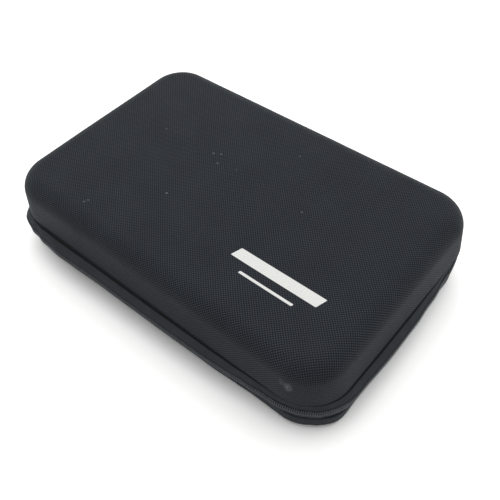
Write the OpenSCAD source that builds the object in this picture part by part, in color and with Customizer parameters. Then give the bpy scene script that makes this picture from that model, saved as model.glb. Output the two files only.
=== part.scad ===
// Moulded hard carrying case with a two-slider zip, a fabric hinge, a foam insert and a lid pocket.
// +X runs along the case, +Y to the hinge at the back, +Z up. The origin is the middle of the flat bottom.

/* [Case] */
// Length of the lid at its widest
case_len = 330; // [260:1:420]
// Width of the lid at its widest
case_wid = 213; // [170:0.5:280]
// Plan radius of the lid's corners at their widest
corner_r = 34.5; // [33:0.5:44]

/* [Base] */
// Height of the base wall, from the table to the crease under the zip band
base_h = 18; // [16:0.5:30]
// How much narrower than the lid the base is, on each side
base_step = 2; // [1:0.1:2.4]
// Radius of the base's bottom edge
base_edge_r = 9; // [7:0.5:12]
// Radius of the lip at the base's crease
base_lip_r = 2; // [1.2:0.1:2.2]
// Lean of the base wall in degrees
base_draft = 3; // [1:0.5:6]

/* [Lid] */
// Height of the lid wall, from the crease over the zip band to the flat top
lid_h = 39; // [36:0.5:60]
// Radius of the lid's top edge
lid_edge_r = 16; // [12:0.5:17]
// Radius of the lip at the lid's crease
lid_lip_r = 2.2; // [1.2:0.1:3]
// Lean of the lid wall in degrees
lid_draft = 5; // [0.5:0.5:7]

/* [Wall] */
// Thickness of the woven outer skin
skin_t = 1; // [0.6:0.1:1.4]
// Thickness of the moulded foam core
core_t = 4.5; // [3:0.1:5.5]
// Thickness of the lining
lining_t = 0.7; // [0.4:0.1:1]
// Radius of the base's inner bottom edge
floor_edge_r = 3; // [1.5:0.1:4]

/* [Rims] */
// How far the outer face of the two rims stands in from the lid's widest
rim_inset = 5; // [4.8:0.1:6.5]
// Half of the gap between the two rims
rim_gap = 0.3; // [0.2:0.05:0.8]
// Thickness of the binding over each rim
binding_t = 0.9; // [0.6:0.1:1.2]
// Width of the binding inside each rim
binding_w = 7; // [5:0.5:8]

/* [Zip band] */
// Height of the band between the base's crease and the parting line
band_low_h = 9.5; // [9:0.5:16]
// Height of the band between the parting line and the lid's crease
band_up_h = 10; // [9:0.5:16]
// How far the coils stand out from the lid's widest along the sides
chain_out = 4; // [3:0.1:5]
// Plan radius of the coils at the corners
chain_corner_r = 48; // [42:0.5:49]
// Height of one coil
coil_h = 2.9; // [2.2:0.1:3.4]
// Thickness of one coil
coil_t = 2.4; // [1.8:0.1:2.6]
// Half of the gap between the two coils
coil_gap = 0.6; // [0.5:0.05:0.8]
// Thickness of the zip tape
tape_t = 1.2; // [0.8:0.1:1.2]

/* [Hinge] */
// How far each end of the zip comes along the back from its corner, which leaves the rest to the hinge
zip_return = 21; // [17:1:60]
// Thickness of the fabric hinge
hinge_t = 1.6; // [1:0.1:2.4]
// Length of the tab that covers each end of the zip
end_tab_len = 12; // [8:0.5:16]

/* [Sliders] */
// Length of a slider's body
slider_len = 16; // [12:0.5:18]
// Height of the slider's outer plate at its nose
slider_nose_h = 11; // [9:0.5:12]
// Height of the slider's outer plate at its tail
slider_tail_h = 8.6; // [7:0.2:9]
// Thickness of each slider plate
plate_t = 1.4; // [1:0.1:1.8]
// Running gap between a slider's plates and the zip
slider_gap = 0.35; // [0.3:0.05:0.5]
// Gap between the two closed sliders
nose_gap = 1; // [0.6:0.1:3]
// Thickness of the post that joins a slider's plates
post_t = 0.6; // [0.4:0.05:0.6]
// Radius of the bridge bar
bar_r = 0.9; // [0.7:0.05:1.1]
// Length of the bridge between its legs
bridge_span = 6.6; // [5.6:0.2:8]

/* [Pulls] */
// Running gap between the pull's eye and the bridge bar
eye_gap = 0.3; // [0.25:0.05:0.4]
// Wall of the pull's eye
eye_wall = 1; // [0.8:0.1:1.2]
// Width of the pull link
link_w = 4.2; // [3:0.2:5]
// Thickness of the pull link
link_t = 1.4; // [1:0.1:1.8]
// Distance from the bridge bar to the top of the grip
grip_drop = 8; // [6:0.5:9]
// Length of the moulded grip
grip_len = 16; // [12:0.5:17]
// Width of the moulded grip
grip_w = 8.6; // [7:0.2:11]
// Thickness of the moulded grip
grip_t = 3.2; // [2.8:0.1:3.6]
// Depth of the link's tongue inside the grip
tongue_l = 5; // [3:0.5:7]

/* [Foam] */
// Thickness of the floor pad
floor_pad_t = 4; // [2:0.5:6]
// Gap between the foam insert and the binding around it
foam_gap = 0.3; // [0.2:0.05:0.6]
// How far the insert's top lies under the parting line
insert_drop = 0.8; // [0.5:0.1:3]
// Wall of foam between the two wells, and at the insert's two ends
end_wall = 16; // [10:0.5:24]
// Wall of foam in front of the wells and behind them
side_wall = 20; // [16:0.5:28]
// Length of the well for leads
lead_len = 44; // [30:1:60]
// Corner radius of the wells
well_r = 8; // [4:0.5:12]
// Radius of the finger scoops
scoop_r = 13; // [8:0.5:14]
// Thickness of the lid pad
lid_pad_t = 5; // [4:0.5:8]

/* [Pocket] */
// Distance of the net under the lid pad
pocket_h = 14; // [10:0.5:15]
// Thickness of the net
net_t = 0.8; // [0.6:0.1:1.2]
// Thickness of the pocket's binding and elastic
hem_t = 1.6; // [1.2:0.1:2.4]
// Width of the pocket's binding and elastic
hem_w = 11; // [8:0.5:14]
// Distance from the middle of the case to the pocket's mouth
mouth_y = 62; // [40:1:66]
// Gap between the pocket's binding and the lining
hem_gap = 0.3; // [0.1:0.05:0.5]

/* [Hidden] */
$fn = 96;

// Heights of the two creases, the parting line and the flat top
z_low = base_h;
z_part = z_low + band_low_h;
z_up = z_part + band_up_h;
z_top = z_up + lid_h;

// Centres of the shells' plan corners: every radius of a shell is measured from them
core_x = case_len / 2 - corner_r;
core_y = case_wid / 2 - corner_r;
base_r = corner_r - base_step;

// Radii of the rims, of what lines them, and of the free space inside them
rim_r = corner_r - rim_inset;
rim_in_r = rim_r - core_t;
rim_lining_r = rim_in_r - lining_t;
rim_free_r = rim_lining_r - binding_t;
insert_r = rim_free_r - foam_gap;
shell_t = skin_t + core_t + lining_t;
floor_z = shell_t;

// Outer face of the coils along the sides, and the centres of their plan corners
chain_x = case_len / 2 + chain_out;
chain_y = case_wid / 2 + chain_out;
chain_core_x = chain_x - chain_corner_r;
chain_core_y = chain_y - chain_corner_r;
coil_zone = coil_gap + coil_h;
tape_gap = 0.15;
coil_bevel = 0.7;
corner_steps = 12;
hinge_end = chain_core_x - zip_return;
seam_gap = 0.3;
coil_end = hinge_end + seam_gap + end_tab_len + seam_gap;

// Places on a slider, measured outwards from the coils' outer face
plate_out = slider_gap + plate_t;
plate_back = coil_t + tape_t + slider_gap;
post_len = 5;
nose_chamfer = 3;
bar_stand = bar_r + eye_gap + eye_wall + 0.4;
bar_out = plate_out + bar_stand;
eye_in = bar_r + eye_gap;
eye_out = eye_in + eye_wall;
leg_w = 2 * bar_r;
slider_y = nose_gap / 2 + slider_len / 2;
grip_corner = 2.4;
rib_r = 0.8;
rib_pitch = 3.2;
rib_sink = 0.35;

// Heights and edges inside the two halves
insert_z = floor_z + floor_pad_t;
insert_top = z_part - insert_drop;
floor_pad_r = rim_lining_r - floor_edge_r;
lid_ceiling = z_top - shell_t;
lid_pad_r = corner_r - lid_edge_r - 1.5;
lid_pad_z = lid_ceiling - lid_pad_t;
net_z = lid_pad_z - pocket_h;
hem_r = wall_r(corner_r, lid_h, lid_lip_r, lid_draft, shell_t, net_z + hem_t - z_up) - hem_gap;
net_r = hem_r - hem_w;
well_left = -core_x - insert_r + end_wall;
lead_left = -well_left - lead_len;
well_len = lead_left - end_wall - well_left;
well_wid = 2 * (core_y + insert_r - side_wall);
over = 1;

// Distance of a half's sloping wall face from its lean line, along the face's normal
function wall_k(r, lip_r, draft) = (r - lip_r) * cos(draft) + lip_r * sin(draft) + lip_r;

// Radius of a half's wall at height z over its crease, inset from the outer face
function wall_r(r, h, lip_r, draft, inset, z) =
    (wall_k(r, lip_r, draft) - inset - z * sin(draft)) / cos(draft);

// Section of one half from its crease at 0 to its flat face at h, inset all round; x is the plan radius
module half_2d(r, h, edge_r, lip_r, draft, inset) {
    edge_z = h - edge_r;
    edge_x = wall_r(r, h, lip_r, draft, edge_r, edge_z);
    round_r = edge_r - inset;
    lip = lip_r - inset;
    lean = [cos(draft), sin(draft)];
    foot = lip > 0 ? [[r - lip_r, lip_r] + lip * lean, [r - lip_r, inset]]
        : [[wall_r(r, h, lip_r, draft, inset, inset), inset]];
    translate([edge_x, edge_z]) intersection() {
        circle(round_r);
        square(round_r);
    }
    polygon(concat([[0, h - inset], [edge_x, h - inset], [edge_x, edge_z] + round_r * lean],
        foot, [[0, inset]]));
    if (lip > 0) translate([r - lip_r, lip_r]) circle(lip);
}

module lid_half_2d(inset) {
    half_2d(corner_r, lid_h, lid_edge_r, lid_lip_r, lid_draft, inset);
}

module base_half_2d(inset) {
    half_2d(base_r, base_h, base_edge_r, base_lip_r, base_draft, inset);
}

// Section of the base's hollow, measured down from its crease
module base_hollow_2d(inset) {
    depth = base_h - skin_t - core_t - inset;
    edge = floor_edge_r - inset;
    wide = rim_in_r - inset;
    translate([0, -band_low_h]) square([wide, band_low_h + depth - edge]);
    square([wide - edge, depth]);
    translate([wide - edge, depth - edge]) circle(edge);
}

// A rim's stretch of a layer, from the binding at its edge to its root in the half
module rim_2d(r_in, r_out, band_h, root) {
    foot = band_h - rim_gap - binding_t;
    translate([r_in, -foot]) square([r_out - r_in, foot + root]);
}

// One layer of the lid, whose wall steps inwards to the rim
module lid_layer_2d(inset, t, rim_out) {
    difference() {
        lid_half_2d(inset);
        lid_half_2d(inset + t);
        translate([-over, -over]) square([rim_out - t + over, inset + t + over]);
    }
    rim_2d(rim_out - t, rim_out, band_up_h, inset + t);
}

module lid_place() {
    translate([0, z_up]) children();
}

module base_place() {
    translate([0, z_low]) mirror([0, 1]) children();
}

// Carries a section round the case: x of the section is the plan radius, y the height
module around() {
    for (side = [0, 1]) {
        mirror([0, side, 0]) translate([-core_x, core_y, 0])
            rotate([90, 0, 90]) linear_extrude(2 * core_x) children();
        mirror([side, 0, 0]) translate([core_x, core_y, 0])
            rotate([90, 0, 0]) linear_extrude(2 * core_y) children();
    }
    for (quarter = [0:3]) {
        turn = 90 * quarter;
        sx = quarter == 0 || quarter == 3 ? 1 : -1;
        sy = quarter < 2 ? 1 : -1;
        translate([sx * core_x, sy * core_y, 0]) rotate([0, 0, turn])
            rotate_extrude(angle = 90) children();
    }
}

// Flat middle of a shell between its corner centres
module middle(z, t) {
    translate([-core_x, -core_y, z]) cube([2 * core_x, 2 * core_y, t]);
}

// Level slab with the case's rounded outline
module slab(r, z, t) {
    around() translate([0, z]) square([r, t]);
    middle(z, t);
}

// Stops along the zip's way, from one end of the hinge round the front to the other: the signs of the
// corner, the heading of the outward normal, and x where the stop lies on the back
function stops(end_x) = concat([[1, 1, 90, end_x]],
    [for (corner = [[1, 1, 90], [1, -1, 0], [-1, -1, -90], [-1, 1, -180]])
        for (i = [0:corner_steps]) [corner[0], corner[1], corner[2] - 90 * i / corner_steps]],
    [[-1, 1, -270, -end_x]]);

function stop_point(stop, cx, cy, r) =
    [is_undef(stop[3]) ? stop[0] * cx + r * cos(stop[2]) : stop[3], stop[1] * cy + r * sin(stop[2])];

// Point of a tape at a stop: w runs from 0 at the crease to 1 at the coils
function tape_point(stop, v) = let(
    near = stop_point(stop, core_x, core_y, v[1]),
    far = stop_point(stop, chain_core_x, chain_core_y, chain_corner_r + v[2]),
    p = (1 - v[0]) * near + v[0] * far) [p[0], p[1], v[3]];

// Section of a tape as [w, radius at the crease, offset from the coils' outer face, height]; it leaves
// the crease at a slant and turns upright behind the coil. up is 1 over the parting line and -1 under it
function tape_section(crease_r, crease_z, gap, front, t, up) = let(
    slant = t * sqrt(0.5),
    drop = (crease_z - z_part) * up - coil_zone,
    way = [for (i = [1, 2]) let(s = i / 3) [(s + sin(90 * s)) / 2, (s + 1 - cos(90 * s)) / 2]])
    concat([[0, crease_r, -front, crease_z]],
        [for (p = way) [p[0], crease_r, -front, crease_z - up * drop * p[1]]],
        [[1, crease_r, -front, z_part + up * coil_zone], [1, crease_r, -front, z_part + up * gap],
        [1, crease_r, -front - t, z_part + up * gap], [1, crease_r, -front - t, z_part + up * coil_zone]],
        [for (i = [1, 0]) [way[i][0], crease_r - slant, -front - slant,
            crease_z - up * (drop * way[i][1] + slant)]],
        [[0, rim_r + tape_gap, -front, crease_z - up * t], [0, rim_r + tape_gap, -front, crease_z]]);

module tape(crease_r, crease_z, up) {
    section = tape_section(crease_r, crease_z, coil_gap, coil_t, tape_t, up);
    way = stops(hinge_end + seam_gap);
    n = len(section);
    m = len(way);
    points = [for (stop = way) for (v = section) tape_point(stop, v)];
    skin = [for (i = [0:m - 2]) for (j = [0:n - 1]) let(
        a = i * n + j, b = i * n + (j + 1) % n, c = b + n, d = a + n)
        each [[a, b, c], [a, c, d]]];
    ends = [[for (j = [n - 1:-1:0]) j], [for (j = [0:n - 1]) (m - 1) * n + j]];
    faces = concat(skin, ends);
    polyhedron(points, up > 0 ? [for (f = faces) [for (k = [len(f) - 1:-1:0]) f[k]]] : faces);
}

// Carries a section along the coils' way; x of the section is the plan radius from the coils' centres
module zip_run(end_x) {
    stub = chain_core_x - end_x;
    for (side = [0, 1]) mirror([side, 0, 0]) {
        translate([chain_core_x, chain_core_y, 0]) {
            rotate([90, 0, 0]) linear_extrude(2 * chain_core_y) children();
            rotate_extrude(angle = 90) children();
        }
        translate([end_x, chain_core_y, 0]) rotate([90, 0, 90]) linear_extrude(stub) children();
        translate([chain_core_x, -chain_core_y, 0]) rotate([0, 0, -90])
            rotate_extrude(angle = 90) children();
    }
    translate([chain_core_x, -chain_core_y, 0]) rotate([90, 0, -90])
        linear_extrude(2 * chain_core_x) children();
}

// Section of a coil with its outer edges bevelled; up is 1 for the lid's coil and -1 for the base's
module coil_2d(up) {
    inner = chain_corner_r - coil_t;
    z_in = z_part + up * coil_gap;
    z_out = z_part + up * coil_zone;
    polygon([[inner, z_in], [chain_corner_r - coil_bevel, z_in],
        [chain_corner_r, z_in + up * coil_bevel], [chain_corner_r, z_out - up * coil_bevel],
        [chain_corner_r - coil_bevel, z_out], [inner, z_out]]);
}

// Binding folded over a rim's edge, up its inner face
module binding_2d(up) {
    edge = z_part + up * rim_gap;
    fold = min(edge, edge + up * binding_t);
    flap = min(edge, edge + up * (binding_t + binding_w));
    translate([rim_free_r, fold]) square([rim_r - rim_free_r, binding_t]);
    translate([rim_free_r, flap]) square([binding_t, binding_t + binding_w]);
}

// Half of the fabric hinge along the back, shaped as the tape but flush with the coils' outer face
module hinge_strip(crease_r, crease_z, up) {
    section = tape_section(crease_r, crease_z, rim_gap, 0, hinge_t, up);
    translate([-hinge_end, 0, 0]) rotate([90, 0, 90]) linear_extrude(2 * hinge_end)
        polygon([for (v = section) let(p = tape_point([1, 1, 90, 0], v)) [p[1], p[2]]]);
}

// Folded tabs over the two ends of one coil
module end_tabs(up) {
    foot = min(z_part + up * coil_gap, z_part + up * coil_zone);
    for (side = [0, 1]) mirror([side, 0, 0])
        translate([hinge_end + seam_gap, chain_y - coil_t, foot]) cube([end_tab_len, coil_t, coil_h]);
}

// Rounded rectangle, standing on its lower left corner
module round_rect(w, h, r) {
    translate([r, 0]) square([w - 2 * r, h]);
    translate([0, r]) square([w, h - 2 * r]);
    for (x = [r, w - r], y = [r, h - r]) translate([x, y]) circle(r);
}

module base_skin() {
    color("#24272b") {
        around() base_place() difference() {
            base_half_2d(0);
            base_half_2d(skin_t);
            translate([-over, -over]) square([rim_r + over, skin_t + 2 * over]);
        }
        middle(0, skin_t);
    }
}

module base_core() {
    color("#3a3d42") {
        around() base_place() difference() {
            union() {
                base_half_2d(skin_t);
                rim_2d(0, rim_r, band_low_h, skin_t);
            }
            base_hollow_2d(0);
        }
        middle(skin_t, core_t);
    }
}

module base_lining() {
    foot = z_low + band_low_h - rim_gap - binding_t;
    color("#2e3136") {
        around() difference() {
            base_place() base_hollow_2d(0);
            base_place() base_hollow_2d(lining_t);
            translate([-over, foot]) square([rim_in_r + 2 * over, band_low_h]);
        }
        middle(skin_t + core_t, lining_t);
    }
}

module base_zip_tape() {
    color("#2b2d31") tape(base_r - base_lip_r, z_low, -1);
}

module base_zip_coil() {
    color("#1d1e20") zip_run(coil_end) coil_2d(-1);
}

module base_binding() {
    color("#202226") around() binding_2d(-1);
}

module hinge_strip_lower() {
    color("#26282c") hinge_strip(base_r - base_lip_r, z_low, -1);
}

module zip_end_tabs_lower() {
    color("#202226") end_tabs(-1);
}

module foam_floor_pad() {
    color("#44474c") slab(floor_pad_r, floor_z, floor_pad_t);
}

// Foam block with the instrument's well, its finger scoops and the well for leads
module foam_insert() {
    depth = insert_top - insert_z;
    color("#4a4d52") difference() {
        slab(insert_r, insert_z, depth);
        translate([0, 0, insert_z - over]) linear_extrude(depth + 2 * over) {
            translate([well_left, -well_wid / 2]) round_rect(well_len, well_wid, well_r);
            translate([lead_left, -well_wid / 2]) round_rect(lead_len, well_wid, well_r);
            for (side = [-1, 1]) translate([well_left + well_len / 2, side * well_wid / 2])
                circle(scoop_r);
        }
    }
}

module lid_skin() {
    color("#2f3338") {
        around() lid_place() difference() {
            lid_half_2d(0);
            lid_half_2d(skin_t);
            translate([-over, -over]) square([rim_r + over, skin_t + 2 * over]);
        }
        middle(z_top - skin_t, skin_t);
    }
}

module lid_core() {
    color("#3a3d42") {
        around() lid_place() lid_layer_2d(skin_t, core_t, rim_r);
        middle(z_top - skin_t - core_t, core_t);
    }
}

module lid_lining() {
    color("#2e3136") {
        around() lid_place() lid_layer_2d(skin_t + core_t, lining_t, rim_in_r);
        middle(lid_ceiling, lining_t);
    }
}

module lid_zip_tape() {
    color("#2b2d31") tape(corner_r - lid_lip_r, z_up, 1);
}

module lid_zip_coil() {
    color("#1d1e20") zip_run(coil_end) coil_2d(1);
}

module lid_binding() {
    color("#202226") around() binding_2d(1);
}

module hinge_strip_upper() {
    color("#26282c") hinge_strip(corner_r - lid_lip_r, z_up, 1);
}

module zip_end_tabs_upper() {
    color("#202226") end_tabs(1);
}

module lid_foam_pad() {
    color("#44474c") slab(lid_pad_r, lid_pad_z, lid_pad_t);
}

module pocket_net() {
    color("#1b1c1e") difference() {
        slab(net_r, net_z, net_t);
        translate([-case_len, -case_wid - mouth_y, net_z - over])
            cube([2 * case_len, case_wid, net_t + 2 * over]);
    }
}

module pocket_elastic() {
    wide = 2 * (core_x + net_r);
    color("#141516") translate([-wide / 2, -mouth_y - hem_w, net_z]) cube([wide, hem_w, hem_t]);
}

module pocket_binding() {
    front = mouth_y + hem_w;
    color("#202226") difference() {
        around() translate([net_r, net_z]) square([hem_w, hem_t]);
        translate([-case_len, -case_wid - front, net_z - over])
            cube([2 * case_len, case_wid, hem_t + 2 * over]);
    }
}

// Puts a slider's piece on the left side, front or rear (-1 or 1), outwards along its own +X and with
// its nose along its own +Y
module on_zip(place) {
    translate([-chain_x, place * slider_y, z_part]) mirror([1, 0, 0])
        mirror([0, place > 0 ? 1 : 0, 0]) children();
}

// Two plates joined by a thin post between the coils; the inner plate stays behind the upright tape
module slider() {
    half = slider_len / 2;
    nose = slider_nose_h / 2;
    tail = slider_tail_h / 2;
    inner = coil_zone - 0.1;
    color("#3b3c3f") {
        translate([slider_gap, 0, 0]) rotate([90, 0, 90]) linear_extrude(plate_t)
            polygon([[half - nose_chamfer, -nose], [half, -nose + nose_chamfer],
                [half, nose - nose_chamfer], [half - nose_chamfer, nose], [0, nose],
                [-half, tail], [-half, -tail], [0, -nose]]);
        translate([-plate_back - plate_t, -half, -inner]) cube([plate_t, slider_len, 2 * inner]);
        translate([-plate_back - plate_t / 2, half - post_len, -post_t / 2])
            cube([plate_back + plate_t / 2 + slider_gap + plate_t / 2, post_len, post_t]);
    }
}

// Bar along the slider on two legs, for the pull to hang from
module slider_bridge() {
    reach = bridge_span / 2 + leg_w;
    color("#3b3c3f") {
        translate([bar_out, reach, 0]) rotate([90, 0, 0]) cylinder(r = bar_r, h = 2 * reach);
        for (side = [0, 1]) mirror([0, side, 0])
            translate([plate_out, bridge_span / 2, -bar_r]) cube([bar_stand, leg_w, leg_w]);
    }
}

// Eye round the bridge bar and the tongue that hangs from it
module pull_link() {
    color("#4a4b4e") {
        difference() {
            union() {
                translate([bar_out, link_w / 2, 0]) rotate([90, 0, 0]) cylinder(r = eye_out, h = link_w);
                tongue(0);
            }
            translate([bar_out, link_w / 2 + over, 0]) rotate([90, 0, 0])
                cylinder(r = eye_in, h = link_w + 2 * over);
        }
    }
}

// Flat tongue of the link, from the height given down to its end inside the grip
module tongue(top) {
    foot = -grip_drop - tongue_l;
    translate([bar_out - link_t / 2, -link_w / 2, foot]) cube([link_t, link_w, top - foot]);
}

// Moulded tab round the tongue, with ribs across both faces
module pull_grip() {
    ribs = floor((grip_len - 2 * grip_corner - tongue_l / 2) / rib_pitch);
    color("#1a1b1d") difference() {
        union() {
            translate([bar_out - grip_t / 2, -grip_w / 2, -grip_drop - grip_len])
                rotate([90, 0, 90]) linear_extrude(grip_t) round_rect(grip_w, grip_len, grip_corner);
            for (i = [0:ribs - 1], side = [-1, 1])
                translate([bar_out + side * (grip_t / 2 - rib_sink), (grip_w - grip_corner) / 2,
                    -grip_drop - grip_len + grip_corner + (i + 0.5) * rib_pitch])
                    rotate([90, 0, 0]) cylinder(r = rib_r, h = grip_w - grip_corner);
        }
        tongue(over - grip_drop);
    }
}

module slider_front() {
    on_zip(-1) slider();
}

module slider_bridge_front() {
    on_zip(-1) slider_bridge();
}

module pull_link_front() {
    on_zip(-1) pull_link();
}

module pull_grip_front() {
    on_zip(-1) pull_grip();
}

module slider_rear() {
    on_zip(1) slider();
}

module slider_bridge_rear() {
    on_zip(1) slider_bridge();
}

module pull_link_rear() {
    on_zip(1) pull_link();
}

module pull_grip_rear() {
    on_zip(1) pull_grip();
}

base_skin();
base_core();
base_lining();
base_zip_tape();
base_zip_coil();
base_binding();
hinge_strip_lower();
zip_end_tabs_lower();
foam_floor_pad();
foam_insert();
lid_skin();
lid_core();
lid_lining();
lid_zip_tape();
lid_zip_coil();
lid_binding();
hinge_strip_upper();
zip_end_tabs_upper();
lid_foam_pad();
pocket_net();
pocket_elastic();
pocket_binding();
slider_front();
slider_bridge_front();
pull_link_front();
pull_grip_front();
slider_rear();
slider_bridge_rear();
pull_link_rear();
pull_grip_rear();
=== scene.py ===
"""Looks of a moulded carrying case: woven nylon over a foam shell, a coil zip, and a foam fitted inside.

Lengths in the classes are millimetres, and the meshes are made in metres. +X runs along the case, +Y to
the hinge at the back and +Z up, with the origin in the middle of the flat bottom.
"""

import logging
from dataclasses import dataclass
from enum import Enum
from typing import Any, Optional, Sequence, Union

import bmesh
import bpy
import numpy as np
from mathutils import Matrix

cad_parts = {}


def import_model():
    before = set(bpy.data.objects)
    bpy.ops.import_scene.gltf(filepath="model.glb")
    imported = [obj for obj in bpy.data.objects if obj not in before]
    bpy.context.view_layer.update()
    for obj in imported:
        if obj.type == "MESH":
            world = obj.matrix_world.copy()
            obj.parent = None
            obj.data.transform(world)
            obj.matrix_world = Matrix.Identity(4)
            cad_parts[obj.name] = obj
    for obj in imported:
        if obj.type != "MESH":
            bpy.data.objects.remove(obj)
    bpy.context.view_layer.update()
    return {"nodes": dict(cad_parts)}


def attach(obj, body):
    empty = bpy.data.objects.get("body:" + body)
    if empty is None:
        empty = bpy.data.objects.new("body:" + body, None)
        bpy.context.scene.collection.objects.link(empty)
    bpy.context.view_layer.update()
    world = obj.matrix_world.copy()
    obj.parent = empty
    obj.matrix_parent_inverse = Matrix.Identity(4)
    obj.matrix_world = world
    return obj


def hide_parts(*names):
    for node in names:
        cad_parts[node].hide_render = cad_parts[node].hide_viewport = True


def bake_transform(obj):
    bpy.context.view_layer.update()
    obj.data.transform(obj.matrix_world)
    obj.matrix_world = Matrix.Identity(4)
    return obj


LOG = logging.getLogger("carrying_case")
MM = 0.001
Value = Union[float, Sequence[float], bpy.types.NodeSocket]


class Half(Enum):
    """The two halves of the case; the value is the way from the parting line to the half's crease."""

    BASE = -1
    LID = 1

    @property
    def body(self) -> str:
        """Name of the body that the half rides on."""
        return self.name.lower()


# ---------------------------------------------------------------- colour and nodes


def linear(code: str, gain: float = 1.0) -> tuple[float, float, float, float]:
    """Turns an sRGB hex colour to linear light.

    A channel c from 0 to 1 becomes c / 12.92 up to 0.04045, and ((c + 0.055) / 1.055) to the power
    2.4 above that.

    Args:
        code: The colour as "#rrggbb".
        gain: What the linear colour is multiplied by.

    Returns:
        Linear red, green and blue, with an alpha of 1.
    """
    c = np.array([int(code[i : i + 2], 16) for i in (1, 3, 5)]) / 255
    out = gain * np.where(c <= 0.04045, c / 12.92, ((c + 0.055) / 1.055) ** 2.4)
    return (float(out[0]), float(out[1]), float(out[2]), 1.0)


def add(
    tree: bpy.types.NodeTree,
    kind: str,
    settings: Optional[dict[str, Any]] = None,
    inputs: Optional[dict[Union[int, str], Value]] = None,
) -> bpy.types.Node:
    """Adds a node with its settings, its constants and its links.

    Args:
        tree: The material's or the world's tree.
        kind: The node's type, such as "ShaderNodeMath".
        settings: Attributes of the node, such as its operation.
        inputs: What goes into each input: a socket is linked, and anything else is set on it.

    Returns:
        The new node.
    """
    node = tree.nodes.new(kind)
    for name, setting in (settings or {}).items():
        setattr(node, name, setting)
    for key, value in (inputs or {}).items():
        if isinstance(value, bpy.types.NodeSocket):
            tree.links.new(value, node.inputs[key])
        else:
            node.inputs[key].default_value = value
    return node


def blank(name: str) -> tuple[bpy.types.Material, bpy.types.NodeTree]:
    """Makes a material with an empty tree, and returns both.

    Args:
        name: The material's name.

    Returns:
        The material and its empty tree.
    """
    material = bpy.data.materials.new(name)
    material.use_nodes = True
    material.node_tree.nodes.clear()
    return material, material.node_tree


# ---------------------------------------------------------------- surfaces


@dataclass
class Grid:
    """A surface of two parameters as rows of points, with a cloth map and what joins up.

    points is (rows, columns, 3) in millimetres. uv is (rows, columns, 2) in millimetres of cloth, with
    one row more where the rows close, and one column more where the columns close, or it is None.
    """

    points: np.ndarray
    uv: Optional[np.ndarray] = None
    rows_close: bool = False
    columns_close: bool = False
    flip: bool = False


def mesh_of(name: str, grids: Sequence[Grid], weld: float = 1e-3) -> bpy.types.Object:
    """Makes one smooth object from grids, and welds the poles and seams where their points meet.

    Args:
        name: The piece's name.
        grids: Its surfaces.
        weld: Points closer than this, in millimetres, become one.

    Returns:
        The object, at the origin, in metres.
    """
    points, faces, corners = [], [], []
    start = 0
    for g in grids:
        rows, columns = g.points.shape[:2]
        at = np.arange(rows * columns).reshape(rows, columns) + start
        i = np.arange(rows if g.rows_close else rows - 1)
        j = np.arange(columns if g.columns_close else columns - 1)
        a, b = np.meshgrid(i, j, indexing="ij")
        a2, b2 = (a + 1) % rows, (b + 1) % columns
        quad = np.stack([at[a, b], at[a2, b], at[a2, b2], at[a, b2]], -1).reshape(-1, 4)
        uv = np.zeros((rows + 1, columns + 1, 2)) if g.uv is None else g.uv
        corner = np.stack([uv[a, b], uv[a + 1, b], uv[a + 1, b + 1], uv[a, b + 1]], 2)
        corner = corner.reshape(-1, 4, 2)
        if g.flip:
            quad, corner = quad[:, ::-1], corner[:, ::-1]
        points.append(g.points.reshape(-1, 3))
        faces.append(quad)
        corners.append(corner)
        start += rows * columns
    return object_of(name, np.concatenate(points), np.concatenate(faces), np.concatenate(corners), weld)


def object_of(
    name: str, points: np.ndarray, faces: np.ndarray, corners: np.ndarray, weld: float = 0.0
) -> bpy.types.Object:
    """Puts points, faces and their corners' cloth places into one smooth object.

    Args:
        name: The piece's name.
        points: (n, 3) in millimetres.
        faces: (m, 3 or 4) indices of points.
        corners: (m, 3 or 4, 2) cloth places in millimetres.
        weld: Points closer than this, in millimetres, become one; 0 leaves them.

    Returns:
        The object, at the origin, in metres.
    """
    mesh = bpy.data.meshes.new(name)
    mesh.from_pydata((points * MM).tolist(), [], faces.tolist())
    layer = mesh.uv_layers.new(name="Cloth")
    layer.data.foreach_set("uv", (corners.reshape(-1) * MM).astype(np.float32))
    if weld > 0:
        work = bmesh.new()
        work.from_mesh(mesh)
        bmesh.ops.remove_doubles(work, verts=work.verts, dist=weld * MM)
        work.to_mesh(mesh)
        work.free()
    mesh.polygons.foreach_set("use_smooth", np.ones(len(mesh.polygons), bool))
    mesh.update()
    piece = bpy.data.objects.new(name, mesh)
    bpy.context.scene.collection.objects.link(piece)
    return piece


def finished(
    piece: bpy.types.Object, material: bpy.types.Material, body: str, slot: str, *nodes: str
) -> bpy.types.Object:
    """Dresses a piece, sets it on its body, hides the solids that it stands for, and reports it.

    Args:
        piece: The piece.
        material: Its finish.
        body: The body that it rides on.
        slot: Its material slot in the record; not used.
        nodes: The solids that it replaces.

    Returns:
        The piece.
    """
    piece.data.materials.append(material)
    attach(piece, body)
    if nodes:
        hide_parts(*nodes)
    LOG.info("%s: %d faces, %s, on %s", piece.name, len(piece.data.polygons), material.name, body)
    return piece


def thickened(piece: bpy.types.Object, thickness: float) -> bpy.types.Object:
    """Gives a sheet its thickness in millimetres on the side that it faces away from.

    Args:
        piece: The sheet.
        thickness: In millimetres.

    Returns:
        The same piece.
    """
    wall = piece.modifiers.new("Thickness", "SOLIDIFY")
    wall.thickness, wall.offset = thickness * MM, -1.0
    return piece


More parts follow.
